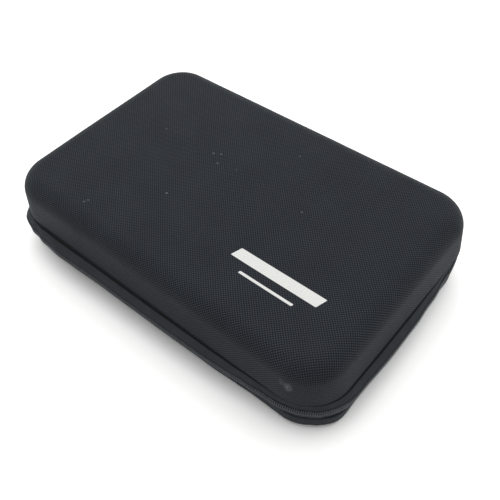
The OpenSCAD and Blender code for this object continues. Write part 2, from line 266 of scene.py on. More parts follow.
@dataclass
class Way:
    """Stations round the case, anticlockwise from above, as places on any rounded outline.

    A station's middle is (u times the corner centres' x, v times their y), and its outward normal has
    the angle given. along_x, where it isn't nan, is the x of a station on the straight back.
    """

    u: np.ndarray
    v: np.ndarray
    angle: np.ndarray
    along_x: np.ndarray
    closed: bool = True

    def out(self) -> np.ndarray:
        """Returns the outward normals, (n, 2)."""
        return np.stack([np.cos(self.angle), np.sin(self.angle)], -1)

    def middle(self, core: tuple[float, float]) -> np.ndarray:
        """Returns the stations' middles on an outline with these corner centres, (n, 2)."""
        x = np.where(np.isnan(self.along_x), self.u * core[0], self.along_x)
        return np.stack([x, self.v * core[1]], -1)

    def carry(self, core: tuple[float, float], radius: np.ndarray, z: np.ndarray) -> np.ndarray:
        """Carries a section round: point = middle + radius times normal, at the section's height.

        Args:
            core: The outline's corner centres.
            radius: The section's plan radii, (m,) or (n, m).
            z: Its heights, of the same shape.

        Returns:
            Points, (n, m, 3).
        """
        n, m = len(self.angle), radius.shape[-1]
        flat = self.middle(core)[:, None] + self.out()[:, None] * np.broadcast_to(radius, (n, m))[..., None]
        return np.concatenate([flat, np.broadcast_to(z, (n, m))[..., None]], -1)

    def length(self, core: tuple[float, float], radius: float) -> np.ndarray:
        """Returns the distance along the outline at each station, and at the return to the first.

        Args:
            core: The outline's corner centres.
            radius: Its corner radius.

        Returns:
            Distances, (n,), or (n + 1,) where the way is closed.
        """
        p = self.middle(core) + self.out() * radius
        if self.closed:
            p = np.concatenate([p, p[:1]])
        return run_of(p)

    def eased(self, core: tuple[float, float], radius: float, knots: Sequence[tuple[float, float]]) -> np.ndarray:
        """Reads a curve through knots at each station, by its distance along an outline.

        Between two knots the curve is a + (b - a)(1 - cos(180 t)) / 2, so it is level at each knot.

        Args:
            core: The outline's corner centres.
            radius: Its corner radius.
            knots: Distances from the back's left end, and the values there.

        Returns:
            The values, (n,).
        """
        run = self.length(core, radius)[: len(self.angle)]
        at = run - np.interp(np.pi / 2 + 1e-6, self.angle, run)
        place, value = np.array(knots, float).T
        k = np.clip(np.searchsorted(place, at) - 1, 0, len(place) - 2)
        t = np.clip((at - place[k]) / (place[k + 1] - place[k]), 0, 1)
        return value[k] + (value[k + 1] - value[k]) * (1 - np.cos(np.pi * t)) / 2

    def kept(self, keep: np.ndarray) -> "Way":
        """Returns the run of stations that are kept, as an open way from its first to its last.

        Args:
            keep: Which stations stay, (n,).

        Returns:
            The open way.
        """
        first = int(np.flatnonzero(keep & ~np.roll(keep, 1))[0])
        order = np.roll(np.arange(len(keep)), -first)
        order = order[keep[order]]
        return Way(self.u[order], self.v[order], self.angle[order], self.along_x[order], False)

    def with_leads(self, core_x: float, end_x: float, pitch: float) -> "Way":
        """Returns the way without its back, with a lead on each side of the back that ends at end_x.

        Args:
            core_x: Where the leads start.
            end_x: Where they end.
            pitch: The step along them.

        Returns:
            The open way.
        """
        way = self.kept(~((self.v > 0.999) & (np.abs(self.u) < 0.999)))
        lead = np.linspace(end_x, core_x, max(2, round((core_x - end_x) / pitch) + 1))[:-1]
        one = np.ones_like(lead)
        return Way(
            np.concatenate([-one, way.u, one]),
            np.concatenate([one, way.v, one]),
            np.concatenate([one * np.pi / 2, way.angle, one * np.pi * 2.5]),
            np.concatenate([-lead, way.along_x, lead[::-1]]),
            False,
        )


def way_round(core: tuple[float, float], pitch: float, corner_steps: int) -> Way:
    """Lays stations round: each corner turns through 90 degrees in even steps, each side is even.

    Args:
        core: The outline's corner centres, which set how many stations a side has.
        pitch: About the distance between stations on the sides.
        corner_steps: Steps of each corner.

    Returns:
        The closed way, from the back's left end.
    """
    signs = np.array([[-1, 1], [-1, -1], [1, -1], [1, 1]], float)
    rows = []
    for k in range(4):
        turn = 90 * (k + 1) + np.linspace(0, 90, corner_steps + 1)
        rows.append(np.column_stack([np.tile(signs[k], (len(turn), 1)), turn]))
        step = signs[(k + 1) % 4] - signs[k]
        n = round(float(np.abs(step * np.array(core)).sum()) / pitch)
        side = signs[k] + step * (np.arange(1, n) / n)[:, None]
        rows.append(np.column_stack([side, np.full(n - 1, 90.0 * (k + 2))]))
    u, v, angle = np.concatenate(rows).T
    return Way(u, v, np.radians(angle), np.full_like(u, np.nan))


def arc(x: float, z: float, r: float, start: float, end: float, steps: int) -> np.ndarray:
    """Points of a circle's arc about (x, z), from one angle to another in degrees, (steps + 1, 2)."""
    a = np.radians(np.linspace(start, end, steps + 1))
    return np.stack([x + r * np.cos(a), z + r * np.sin(a)], -1)


def spaced(points: np.ndarray, pitch: float) -> np.ndarray:
    """Adds even points on the long steps of a line, so that no step is longer than pitch.

    Args:
        points: The line, (n, k).
        pitch: The longest step that stays.

    Returns:
        The line with its added points.
    """
    parts = []
    for a, b in zip(points[:-1], points[1:]):
        n = max(1, int(np.ceil(np.linalg.norm(b - a) / pitch)))
        parts.append(a + (b - a) * (np.arange(n) / n)[:, None])
    return np.concatenate(parts + [points[-1:]])


def run_of(line: np.ndarray) -> np.ndarray:
    """Returns the distance along a line at each of its points."""
    return np.concatenate([[0], np.cumsum(np.linalg.norm(np.diff(line, axis=0), axis=1))])


def even(line: np.ndarray, pitch: float) -> tuple[np.ndarray, np.ndarray]:
    """Places along a line at an even pitch.

    Args:
        line: (n, 3) points.
        pitch: Distance between places; it is adjusted so that whole pitches fill the line.

    Returns:
        Places at the middle of each pitch, (k, 3), and the places' distances along the line.
    """
    run = run_of(line)
    count = max(1, round(run[-1] / pitch))
    at = (np.arange(count) + 0.5) * run[-1] / count
    return np.stack([np.interp(at, run, line[:, k]) for k in range(3)], -1), at


def unit(vectors: np.ndarray) -> np.ndarray:
    """Scales vectors to length 1."""
    return vectors / np.linalg.norm(vectors, axis=-1, keepdims=True)


def repeated(
    name: str, shape: Grid, places: np.ndarray, along: np.ndarray, out: np.ndarray
) -> bpy.types.Object:
    """Copies one small shape to many places: point = place + x along + y out + z (along cross out).

    Args:
        name: The piece's name.
        shape: The shape's surface, in its own x, y and z.
        places: (k, 3) places.
        along: (k, 3) directions of the shape's x.
        out: (k, 3) directions of its y, square to along.

    Returns:
        One object with every copy.
    """
    rows, columns = shape.points.shape[:2]
    at = np.arange(rows * columns).reshape(rows, columns)
    a, b = np.meshgrid(np.arange(rows if shape.rows_close else rows - 1),
                       np.arange(columns if shape.columns_close else columns - 1), indexing="ij")
    a2, b2 = (a + 1) % rows, (b + 1) % columns
    quad = np.stack([at[a, b], at[a2, b], at[a2, b2], at[a, b2]], -1).reshape(-1, 4)
    if shape.flip:
        quad = quad[:, ::-1]
    flat = shape.points.reshape(-1, 3)
    axes = np.stack([along, out, np.cross(along, out)], 1)
    points = places[:, None] + np.einsum("pi,kij->kpj", flat, axes)
    faces = quad[None] + (np.arange(len(places)) * len(flat))[:, None, None]
    corners = np.zeros((faces.shape[0] * faces.shape[1], 4, 2))
    return object_of(name, points.reshape(-1, 3), faces.reshape(-1, 4), corners)


def tube(line: np.ndarray, radius: np.ndarray, side: np.ndarray, around: int) -> Grid:
    """A round tube along a flat line, closed to a point at both ends.

    Args:
        line: (n, 3) centreline.
        radius: (n,) radii.
        side: A direction square to the line all along.
        around: Points round the tube.

    Returns:
        Its surface: point = line + radius (cos(a) side + sin(a) (heading cross side)).
    """
    heading = unit(np.gradient(line, axis=0))
    lift = np.cross(heading, side)
    a = np.arange(around) * 2 * np.pi / around
    ring = np.cos(a)[None, :, None] * side + np.sin(a)[None, :, None] * lift[:, None]
    points = line[:, None] + radius[:, None, None] * ring
    ends = [np.repeat(line[k][None, None], around, 1) for k in (0, -1)]
    return Grid(np.concatenate([ends[0], points, ends[1]]), None, columns_close=True)


def rounded_box(
    centre: Sequence[float], half: Sequence[float], square: float = 0.35, steps: int = 8
) -> Grid:
    """A box with round edges: a ball whose sines and cosines are raised to a small power.

    Args:
        centre: Its middle.
        half: Half of its three sizes.
        square: The power, from 1 for a ball towards 0 for a sharp box.
        steps: Steps from pole to equator.

    Returns:
        The closed surface.
    """
    up = np.linspace(-np.pi / 2, np.pi / 2, 2 * steps + 1)[None, :]
    turn = (np.arange(4 * steps) * 2 * np.pi / (4 * steps))[:, None]

    def bent(x: np.ndarray) -> np.ndarray:
        """Raises a value's size to the power and keeps its sign."""
        return np.sign(x) * np.abs(x) ** square

    flat = bent(np.cos(up))
    shape = [flat * bent(np.cos(turn)), flat * bent(np.sin(turn)), bent(np.sin(up)) + 0 * turn]
    return Grid(np.stack(shape, -1) * np.array(half) + np.array(centre), None, rows_close=True)


def slab_grid(
    base: np.ndarray, out: np.ndarray, rim: np.ndarray, rings: int, dome: float = 0.0
) -> Grid:
    """A flat closed piece: its rim's section carried round an outline, and rings that shrink inside.

    A rim's point is the outline's point plus the section's offset times the normal, at the section's
    height. Inside the rim, rings shrink in even steps to the middle, on the lower and the upper face.

    Args:
        base: The outline, (n, 2), anticlockwise.
        out: Its outward normals, (n, 2).
        rim: The section from the lower face to the upper face as offset and height, (m, 2).
        rings: Rings on each face.
        dome: Height that the upper face gains in its middle.

    Returns:
        The closed surface with a flat cloth map.
    """
    edge = base[:, None] + out[:, None] * rim[None, :, :1]
    heights = np.broadcast_to(rim[:, 1], edge.shape[:2])
    middle = edge.mean((0, 1))
    share = np.linspace(0, 1, rings + 1)
    low = middle + (edge[:, :1] - middle) * share[None, :-1, None]
    high = middle + (edge[:, -1:] - middle) * share[None, -2::-1, None]
    flat = np.concatenate([low, edge, high], 1)
    top = rim[-1, 1] + dome * (1 - share[-2::-1] ** 2)
    z = np.concatenate([np.full((len(base), rings), rim[0, 1]), heights,
                        np.broadcast_to(top, (len(base), rings))], 1)
    points = np.concatenate([flat, z[..., None]], -1)
    cloth = np.concatenate([flat, flat[:1]])
    return Grid(points, cloth, rows_close=True)


def waviness(a: np.ndarray, b: np.ndarray, waves: Sequence[float], seed: int) -> np.ndarray:
    """A soft unevenness from -1 to 1: the mean of sines whose waves cross at random headings.

    Args:
        a: One coordinate in millimetres.
        b: The other.
        waves: Wavelengths in millimetres.
        seed: Fixes the headings and the phases.

    Returns:
        The value at each point.
    """
    rng = np.random.default_rng(seed)
    total = np.zeros(np.broadcast(a, b).shape)
    for wave in waves:
        heading, phase = rng.uniform(0, 2 * np.pi, 2)
        total += np.sin(2 * np.pi * (a * np.cos(heading) + b * np.sin(heading)) / wave + phase)
    return total / len(waves)


# ---------------------------------------------------------------- finishes


def surfaced(tree: bpy.types.NodeTree, colour: Value, height: Optional[bpy.types.NodeSocket], depth_mm: float,
             settings: dict[Union[int, str], Value], strength: float = 0.7) -> None:
    """Ends a material: a bump from the height, the shader with its colour and settings, the output.

    Args:
        tree: The material's tree.
        colour: The colour's socket, or a linear colour.
        height: Height from 0 to 1, or None for a smooth surface.
        depth_mm: What a height of 1 stands for.
        settings: The shader's other inputs.
        strength: The bump's strength.
    """
    inputs = {"Base Color": colour, **settings}
    if height is not None:
        bump = add(tree, "ShaderNodeBump", None, {"Strength": strength, "Distance": depth_mm * MM, "Height": height})
        inputs["Normal"] = bump.outputs[0]
    shader = add(tree, "ShaderNodeBsdfPrincipled", None, inputs)
    add(tree, "ShaderNodeOutputMaterial", None, {0: shader.outputs[0]})


@dataclass(frozen=True)
class PrintedBar:
    """A row of plain slanted bars in white ink on the lid's top, each with round corners."""

    left: float
    middle_y: float
    height: float
    bar: float
    pitch: float
    count: int
    round_r: float = 0.8
    slant: float = 0.3

    def mask(self, tree: bpy.types.NodeTree, place: bpy.types.NodeSocket) -> bpy.types.NodeSocket:
        """Returns 1 on the bars and 0 off them.

        With s = x + slant (y - middle), a place is taken into its own pitch, and it is inked where its
        distance from the bar's box, shrunk by the corner radius, is less than that radius.

        Args:
            tree: The material's tree.
            place: Object coordinates, in metres.
        """
        axes = add(tree, "ShaderNodeSeparateXYZ", None, {0: place})
        y = add(tree, "ShaderNodeMath", {"operation": "SUBTRACT"}, {0: axes.outputs[1], 1: self.middle_y * MM})
        lean = add(tree, "ShaderNodeMath", {"operation": "MULTIPLY_ADD"},
                   {0: y.outputs[0], 1: -self.slant, 2: axes.outputs[0]})
        s = add(tree, "ShaderNodeMath", {"operation": "SUBTRACT"}, {0: lean.outputs[0], 1: self.left * MM})
        lap = add(tree, "ShaderNodeMath", {"operation": "WRAP"}, {0: s.outputs[0], 1: self.pitch * MM, 2: 0.0})
        off = add(tree, "ShaderNodeMath", {"operation": "SUBTRACT"}, {0: lap.outputs[0], 1: self.bar / 2 * MM})
        flat = add(tree, "ShaderNodeCombineXYZ", None, {0: off.outputs[0], 1: y.outputs[0]})
        size = add(tree, "ShaderNodeVectorMath", {"operation": "ABSOLUTE"}, {0: flat.outputs[0]})
        box = ((self.bar / 2 - self.round_r) * MM, (self.height / 2 - self.round_r) * MM, 0)
        over = add(tree, "ShaderNodeVectorMath", {"operation": "SUBTRACT"}, {0: size.outputs[0], 1: box})
        outside = add(tree, "ShaderNodeVectorMath", {"operation": "MAXIMUM"}, {0: over.outputs[0], 1: (0, 0, 0)})
        far = add(tree, "ShaderNodeVectorMath", {"operation": "LENGTH"}, {0: outside.outputs[0]})
        inked = add(tree, "ShaderNodeMapRange", {"clamp": True},
                    {0: far.outputs[1], 1: (self.round_r + 0.12) * MM, 2: (self.round_r - 0.12) * MM, 3: 0.0, 4: 1.0})
        half = self.pitch * self.count / 2
        inside = add(tree, "ShaderNodeMath", {"operation": "COMPARE"},
                     {0: s.outputs[0], 1: half * MM, 2: (half - 0.01) * MM})
        top = add(tree, "ShaderNodeMath", {"operation": "GREATER_THAN"}, {0: axes.outputs[2], 1: 70 * MM})
        both = add(tree, "ShaderNodeMath", {"operation": "MULTIPLY"}, {0: inside.outputs[0], 1: top.outputs[0]})
        return add(tree, "ShaderNodeMath", {"operation": "MULTIPLY"},
                   {0: both.outputs[0], 1: inked.outputs[0]}).outputs[0]


@dataclass(frozen=True)
class Rub:
    """A rubbed or dusty place on the cloth: an ellipsoid about a point, strongest in its middle."""

    centre: tuple[float, float, float]
    half: tuple[float, float, float]
    strength: float = 1.0

    def share(self, tree: bpy.types.NodeTree, place: bpy.types.NodeSocket) -> bpy.types.NodeSocket:
        """Returns strength (1 - d) inside the ellipsoid, where d is the distance in its half sizes.

        Args:
            tree: The tree.
            place: The place in the object.

        Returns:
            The share as a socket.
        """
        away = add(tree, "ShaderNodeVectorMath", {"operation": "SUBTRACT"},
                   {0: place, 1: tuple(c * MM for c in self.centre)})
        scaled = add(tree, "ShaderNodeVectorMath", {"operation": "DIVIDE"},
                     {0: away.outputs[0], 1: tuple(h * MM for h in self.half)})
        far = add(tree, "ShaderNodeVectorMath", {"operation": "LENGTH"}, {0: scaled.outputs[0]})
        return add(tree, "ShaderNodeMapRange", None,
                   {0: far.outputs[1], 1: 1.0, 2: 0.0, 3: 0.0, 4: self.strength}).outputs[0]


@dataclass(frozen=True)
class BallisticNylon:
    """Nylon filament woven two over two: dark and dry, with a faint glint on each float.

    Real floats are about 1 mm long; they are drawn as 1.2 mm, which is as fine as the render shows.
    Near the crease, where the cloth turns in under the lip, its colour is darkened between two given heights as painted
    shade.
    """

    name: str
    # Heights between which the colour is painted darker towards the crease, as painted shade.
    crease_shade_z: tuple[float, float]
    bars: tuple[PrintedBar, ...] = ()
    rubs: tuple[Rub, ...] = ()
    # The next two colours are one thread's, painted lighter and darker as painted sheen on its floats.
    warp_sheen_colour: str = "#40464e"
    weft_shade_colour: str = "#171b21"
    # Painted shade in the hollows between the threads.
    groove_shade_colour: str = "#0b0d10"
    ink: str = "#f3f3f0"
    dust: str = "#8d9398"
    thread_mm: float = 0.6
    rough: float = 0.58

    def material(self) -> bpy.types.Material:
        """Builds the weave from the cloth map, with its ink, its rubbed places and a few specks of lint.

        Counted in threads, the cloth is cut in cells of two by two. A cell whose two numbers add up to
        an even sum shows the floats of one set of threads, and else those of the other. The two sets are
        the same thread; the first is painted lighter and the second darker, as painted sheen. Across a
        thread the height is |sin(180 t)|^0.6, and along its float over the cell it is |sin(90 t)|^0.6, and
        the hollows between threads are painted near black as shade.
        """
        material, tree = blank(self.name)
        cloth = add(tree, "ShaderNodeUVMap", {"uv_map": "Cloth"})
        place = add(tree, "ShaderNodeTexCoord").outputs["Object"]
        threads = add(tree, "ShaderNodeVectorMath", {"operation": "SCALE"},
                      {0: cloth.outputs[0], "Scale": 1 / (self.thread_mm * MM)})
        cells = add(tree, "ShaderNodeVectorMath", {"operation": "SCALE"}, {0: threads.outputs[0], "Scale": 0.5})
        cell = add(tree, "ShaderNodeVectorMath", {"operation": "FLOOR"}, {0: cells.outputs[0]})
        number = add(tree, "ShaderNodeSeparateXYZ", None, {0: cell.outputs[0]})
        both = add(tree, "ShaderNodeMath", {"operation": "ADD"}, {0: number.outputs[0], 1: number.outputs[1]})
        side = add(tree, "ShaderNodeMath", {"operation": "FLOORED_MODULO"}, {0: both.outputs[0], 1: 2.0})
        humps = []
        for turn in (np.pi, np.pi / 2):
            wave = add(tree, "ShaderNodeVectorMath", {"operation": "SCALE"}, {0: threads.outputs[0], "Scale": turn})
            sine = add(tree, "ShaderNodeVectorMath", {"operation": "SINE"}, {0: wave.outputs[0]})
            hump = add(tree, "ShaderNodeVectorMath", {"operation": "ABSOLUTE"}, {0: sine.outputs[0]})
            humps.append(add(tree, "ShaderNodeSeparateXYZ", None, {0: hump.outputs[0]}))
        floats = []
        for k in (0, 1):
            bulge = add(tree, "ShaderNodeMath", {"operation": "MULTIPLY"},
                        {0: humps[0].outputs[k], 1: humps[1].outputs[1 - k]})
            floats.append(add(tree, "ShaderNodeMath", {"operation": "POWER"}, {0: bulge.outputs[0], 1: 0.6}))
        height = add(tree, "ShaderNodeMix", {"data_type": "FLOAT"},
                     {"Factor": side.outputs[0], 2: floats[0].outputs[0], 3: floats[1].outputs[0]}).outputs[0]
        # Painted sheen: the floats of one set are lighter than those of the other.
        float_sheen = add(tree, "ShaderNodeMix", {"data_type": "RGBA"},
                   {"Factor": side.outputs[0], 6: linear(self.warp_sheen_colour), 7: linear(self.weft_shade_colour)})
        # Painted shade: the colour falls to near black in the hollows between threads.
        colour = add(tree, "ShaderNodeMix", {"data_type": "RGBA"},
                     {"Factor": height, 6: linear(self.groove_shade_colour), 7: float_sheen.outputs[2]}).outputs[2]
        cloud = add(tree, "ShaderNodeTexNoise", None, {"Vector": place, "Scale": 1 / (38 * MM), "Detail": 3.0})
        shade = add(tree, "ShaderNodeMapRange", None, {0: cloud.outputs[0], 1: 0.3, 2: 0.7, 3: 0.88, 4: 1.12})
        colour = add(tree, "ShaderNodeVectorMath", {"operation": "SCALE"},
                     {0: colour, "Scale": shade.outputs[0]}).outputs[0]
        colour = self.worn(tree, place, height, colour)
        level = add(tree, "ShaderNodeSeparateXYZ", None, {0: place}).outputs[2]
        # Painted shade of the crease: the colour darkens to 0.15 between the two heights, and the cloth is made rougher
        # there.
        crease_shade_paint = add(tree, "ShaderNodeMapRange", {"interpolation_type": "SMOOTHSTEP"},
                     {0: level, 1: self.crease_shade_z[0] * MM, 2: self.crease_shade_z[1] * MM, 3: 0.15, 4: 1.0})
        colour = add(tree, "ShaderNodeVectorMath", {"operation": "SCALE"},
                     {0: colour, "Scale": crease_shade_paint.outputs[0]}).outputs[0]
        for bar in self.bars:
            ink = bar.mask(tree, place)
            bite = add(tree, "ShaderNodeMapRange", None, {0: height, 1: 0.1, 2: 0.4, 3: 0.6, 4: 1.0})
            laid = add(tree, "ShaderNodeMath", {"operation": "MULTIPLY"}, {0: ink, 1: bite.outputs[0]})
            colour = add(tree, "ShaderNodeMix", {"data_type": "RGBA"},
                         {"Factor": laid.outputs[0], 6: colour, 7: linear(self.ink)}).outputs[2]
        rough = add(tree, "ShaderNodeMapRange", None, {0: crease_shade_paint.outputs[0], 1: 0.0, 2: 1.0, 3: 1.0, 4: self.rough})
        surfaced(tree, colour, height, 0.2, {"Roughness": rough.outputs[0], "Specular IOR Level": 0.1})
        return material

    def worn(self, tree: bpy.types.NodeTree, place: bpy.types.NodeSocket, height: bpy.types.NodeSocket,
             colour: bpy.types.NodeSocket) -> bpy.types.NodeSocket:
        """Adds the rubbed places and the specks of lint, which are rubs of 2 mm, on the floats' tops.

        Args:
            tree: The material's tree.
            place: Object coordinates.
            height: The weave's height.
            colour: The clean cloth's colour.

        Returns:
            The colour with its wear.
        """
        grain = add(tree, "ShaderNodeTexNoise", None, {"Vector": place, "Scale": 1 / (1.6 * MM), "Detail": 2.0})
        patchy = add(tree, "ShaderNodeMapRange", None, {0: grain.outputs[0], 1: 0.35, 2: 0.65, 3: 0.3, 4: 1.3})
        for rub in self.rubs:
            rough = add(tree, "ShaderNodeMath", {"operation": "MULTIPLY"},
                        {0: rub.share(tree, place), 1: patchy.outputs[0]})
            tops = add(tree, "ShaderNodeMath", {"operation": "MULTIPLY", "use_clamp": True},
                       {0: rough.outputs[0], 1: height})
            colour = add(tree, "ShaderNodeMix", {"data_type": "RGBA"},
                         {"Factor": tops.outputs[0], 6: colour, 7: linear(self.dust)}).outputs[2]
        return colour


@dataclass(frozen=True)
class RibbedTape:
    """Woven tape of spun polyester, such as zip tape, grosgrain or webbing: matt, with even ribs.

    The ribs run across the tape where across is true, and along it otherwise. From its first edge the
    tape's colour is painted dark as the crease's shade up to 0.8 of shade_mm, and lightens to its own colour at
    shade_mm.
    """

    name: str
    colour: str
    rib_mm: float = 0.8
    thread_mm: float = 0.5
    depth_mm: float = 0.1
    across: bool = True
    shade_mm: float = 0.0
    rough: float = 0.7
    # Share of the colour that is left in the hollows between ribs, as painted shade.
    hollow_shade: float = 0.55

    def material(self) -> bpy.types.Material:
        """Builds the ribs: |sin| across the ribs times a finer |sin| along them, from the cloth map; the hollows
        between the ribs are painted darker as shade.
        """
        material, tree = blank(self.name)
        cloth = add(tree, "ShaderNodeUVMap", {"uv_map": "Cloth"})
        pitch = (self.rib_mm, self.thread_mm) if self.across else (self.thread_mm, self.rib_mm)
        turns = add(tree, "ShaderNodeVectorMath", {"operation": "MULTIPLY"},
                    {0: cloth.outputs[0], 1: (np.pi / (pitch[0] * MM), np.pi / (pitch[1] * MM), 0)})
        sine = add(tree, "ShaderNodeVectorMath", {"operation": "SINE"}, {0: turns.outputs[0]})
        hump = add(tree, "ShaderNodeVectorMath", {"operation": "ABSOLUTE"}, {0: sine.outputs[0]})
        parts = add(tree, "ShaderNodeSeparateXYZ", None, {0: hump.outputs[0]})
        fine = parts.outputs[1 if self.across else 0]
        rib = parts.outputs[0 if self.across else 1]
        soft = add(tree, "ShaderNodeMath", {"operation": "MULTIPLY_ADD"}, {0: fine, 1: 0.35, 2: 0.65})
        height = add(tree, "ShaderNodeMath", {"operation": "MULTIPLY"}, {0: rib, 1: soft.outputs[0]}).outputs[0]
        # Painted shade: the colour darkens in the hollows between ribs.
        colour = add(tree, "ShaderNodeMix", {"data_type": "RGBA"}, {
            "Factor": height, 6: linear(self.colour, self.hollow_shade), 7: linear(self.colour)}).outputs[2]
        place = add(tree, "ShaderNodeTexCoord").outputs["Object"]
        fuzz = add(tree, "ShaderNodeTexNoise", None, {"Vector": place, "Scale": 1 / (9 * MM), "Detail": 4.0})
        shade = add(tree, "ShaderNodeMapRange", None, {0: fuzz.outputs[0], 1: 0.3, 2: 0.7, 3: 0.85, 4: 1.12}).outputs[0]
        # Painted shade of the crease near the tape's first edge.
        if self.shade_mm > 0:
            fall = add(tree, "ShaderNodeSeparateXYZ", None, {0: cloth.outputs[0]})
            dark = add(tree, "ShaderNodeMapRange", None,
                       {0: fall.outputs[1], 1: self.shade_mm * 0.8 * MM, 2: self.shade_mm * MM, 3: 0.12, 4: 1.0})
            shade = add(tree, "ShaderNodeMath", {"operation": "MULTIPLY"}, {0: shade, 1: dark.outputs[0]}).outputs[0]
        colour = add(tree, "ShaderNodeVectorMath", {"operation": "SCALE"}, {0: colour, "Scale": shade}).outputs[0]
        surfaced(tree, colour, height, self.depth_mm, {"Roughness": self.rough, "Specular IOR Level": 0.1})
        return material


@dataclass(frozen=True)
class Knit:
    """Brushed tricot knit over foam: soft and matt, with fine wales and a pale nap at grazing view."""

    name: str
    colour: str
    wale_mm: float = 0.9
    rough: float = 0.85

    def material(self) -> bpy.types.Material:
        """Builds the wales: sin along both cloth directions, the second bent by the first; the hollows between the
        wales are painted darker as shade.
        """
        material, tree = blank(self.name)
        cloth = add(tree, "ShaderNodeUVMap", {"uv_map": "Cloth"})
        turns = add(tree, "ShaderNodeVectorMath", {"operation": "SCALE"},
                    {0: cloth.outputs[0], "Scale": np.pi / (self.wale_mm * MM)})
        sine = add(tree, "ShaderNodeVectorMath", {"operation": "SINE"}, {0: turns.outputs[0]})
        parts = add(tree, "ShaderNodeSeparateXYZ", None, {0: sine.outputs[0]})
        bent = add(tree, "ShaderNodeMath", {"operation": "MULTIPLY"}, {0: parts.outputs[0], 1: parts.outputs[1]})
        height = add(tree, "ShaderNodeMath", {"operation": "ABSOLUTE"}, {0: bent.outputs[0]}).outputs[0]
        place = add(tree, "ShaderNodeTexCoord").outputs["Object"]
        nap = add(tree, "ShaderNodeTexNoise", None, {"Vector": place, "Scale": 1 / (14 * MM), "Detail": 5.0})
        tone = add(tree, "ShaderNodeMix", {"data_type": "RGBA"}, {
            "Factor": nap.outputs[0], 6: linear(self.colour, 0.8), 7: linear(self.colour, 1.25)})
        # Painted shade: the hollows between wales are darkened to 0.6 of the colour.
        colour = add(tree, "ShaderNodeMix", {"data_type": "RGBA"},
                     {"Factor": height, 6: linear(self.colour, 0.6), 7: tone.outputs[2]}).outputs[2]
        surfaced(tree, colour, height, 0.15, {"Roughness": self.rough, "Specular IOR Level": 0.2,
                                              "Sheen Weight": 0.15, "Sheen Roughness": 0.6})
        return material


@dataclass(frozen=True)
class CellFoam:
    """Closed-cell foam cut with a knife: dead matt, with open pores of half a millimetre or so."""

    name: str
    colour: str
    pore_mm: float = 1.1

    def material(self) -> bpy.types.Material:
        """Builds the pores from cells in Object coordinates, over a slow drift of tone, and paints the pores darker as
        shade.
        """
        material, tree = blank(self.name)
        place = add(tree, "ShaderNodeTexCoord").outputs["Object"]
        pores = add(tree, "ShaderNodeTexVoronoi", None, {"Vector": place, "Scale": 1 / (self.pore_mm * MM)})
        fine = add(tree, "ShaderNodeTexNoise", None, {"Vector": place, "Scale": 1 / (0.5 * MM), "Detail": 3.0})
        slow = add(tree, "ShaderNodeTexNoise", None, {"Vector": place, "Scale": 1 / (30 * MM), "Detail": 3.0})
        height = add(tree, "ShaderNodeMath", {"operation": "MULTIPLY"},
                     {0: pores.outputs[0], 1: fine.outputs[0]}).outputs[0]
        tone = add(tree, "ShaderNodeMix", {"data_type": "RGBA"}, {
            "Factor": slow.outputs[0], 6: linear(self.colour, 0.8), 7: linear(self.colour, 1.2)}).outputs[2]
        # Painted shade: the colour darkens in the pores.
        pore_shade = add(tree, "ShaderNodeMapRange", None, {0: pores.outputs[0], 1: 0.1, 2: 0.35, 3: 0.55, 4: 1.0})
        colour = add(tree, "ShaderNodeVectorMath", {"operation": "SCALE"},
                     {0: tone, "Scale": pore_shade.outputs[0]}).outputs[0]
        surfaced(tree, colour, height, 0.3, {"Roughness": 0.92, "Specular IOR Level": 0.2})
        return material


@dataclass(frozen=True)
class Monofilament:
    """Extruded nylon or polyester, as in zip coil, net and sewing thread: smooth, with a soft gloss."""

    name: str
    colour: str
    rough: float = 0.42
    specular: float = 0.4

    def material(self) -> bpy.types.Material:
        """Builds an even colour that drifts a little, over a very fine grain."""
        material, tree = blank(self.name)
        place = add(tree, "ShaderNodeTexCoord").outputs["Object"]
        drift = add(tree, "ShaderNodeTexNoise", None, {"Vector": place, "Scale": 1 / (6 * MM), "Detail": 4.0})
        grain = add(tree, "ShaderNodeTexNoise", None, {"Vector": place, "Scale": 1 / (0.35 * MM), "Detail": 2.0})
        colour = add(tree, "ShaderNodeMix", {"data_type": "RGBA"}, {
            "Factor": drift.outputs[0], 6: linear(self.colour, 0.7), 7: linear(self.colour, 1.3)}).outputs[2]
        surfaced(tree, colour, grain.outputs[0], 0.04, {"Roughness": self.rough, "Specular IOR Level": self.specular})
        return material


@dataclass(frozen=True)
class BlackedZinc:
    """Die-cast zinc under black enamel: a hard satin coat, worn to grey metal in small scratches."""

    name: str
    coat: str = "#1b1c1e"
    worn: str = "#8b8d90"
    rough: float = 0.3

    def material(self) -> bpy.types.Material:
        """Builds the enamel and its scratches, which are thin ridges of a stretched noise."""
        material, tree = blank(self.name)
        place = add(tree, "ShaderNodeTexCoord").outputs["Object"]
        long = add(tree, "ShaderNodeVectorMath", {"operation": "MULTIPLY"}, {0: place, 1: (1500.0, 260.0, 420.0)})
        noise = add(tree, "ShaderNodeTexNoise", None, {"Vector": long.outputs[0], "Scale": 1.0, "Detail": 4.0})
        ridge = add(tree, "ShaderNodeMapRange", None, {0: noise.outputs[0], 1: 0.66, 2: 0.74, 3: 0.0, 4: 0.8})
        colour = add(tree, "ShaderNodeMix", {"data_type": "RGBA"},
                     {"Factor": ridge.outputs[0], 6: linear(self.coat), 7: linear(self.worn)}).outputs[2]
        grain = add(tree, "ShaderNodeTexNoise", None, {"Vector": place, "Scale": 1 / (0.8 * MM), "Detail": 3.0})
        rough = add(tree, "ShaderNodeMapRange", None,
                    {0: grain.outputs[0], 1: 0.3, 2: 0.7, 3: self.rough - 0.08, 4: self.rough + 0.12})
        surfaced(tree, colour, grain.outputs[0], 0.03,
                 {"Roughness": rough.outputs[0], "Metallic": ridge.outputs[0], "Coat Weight": 0.2})
        return material


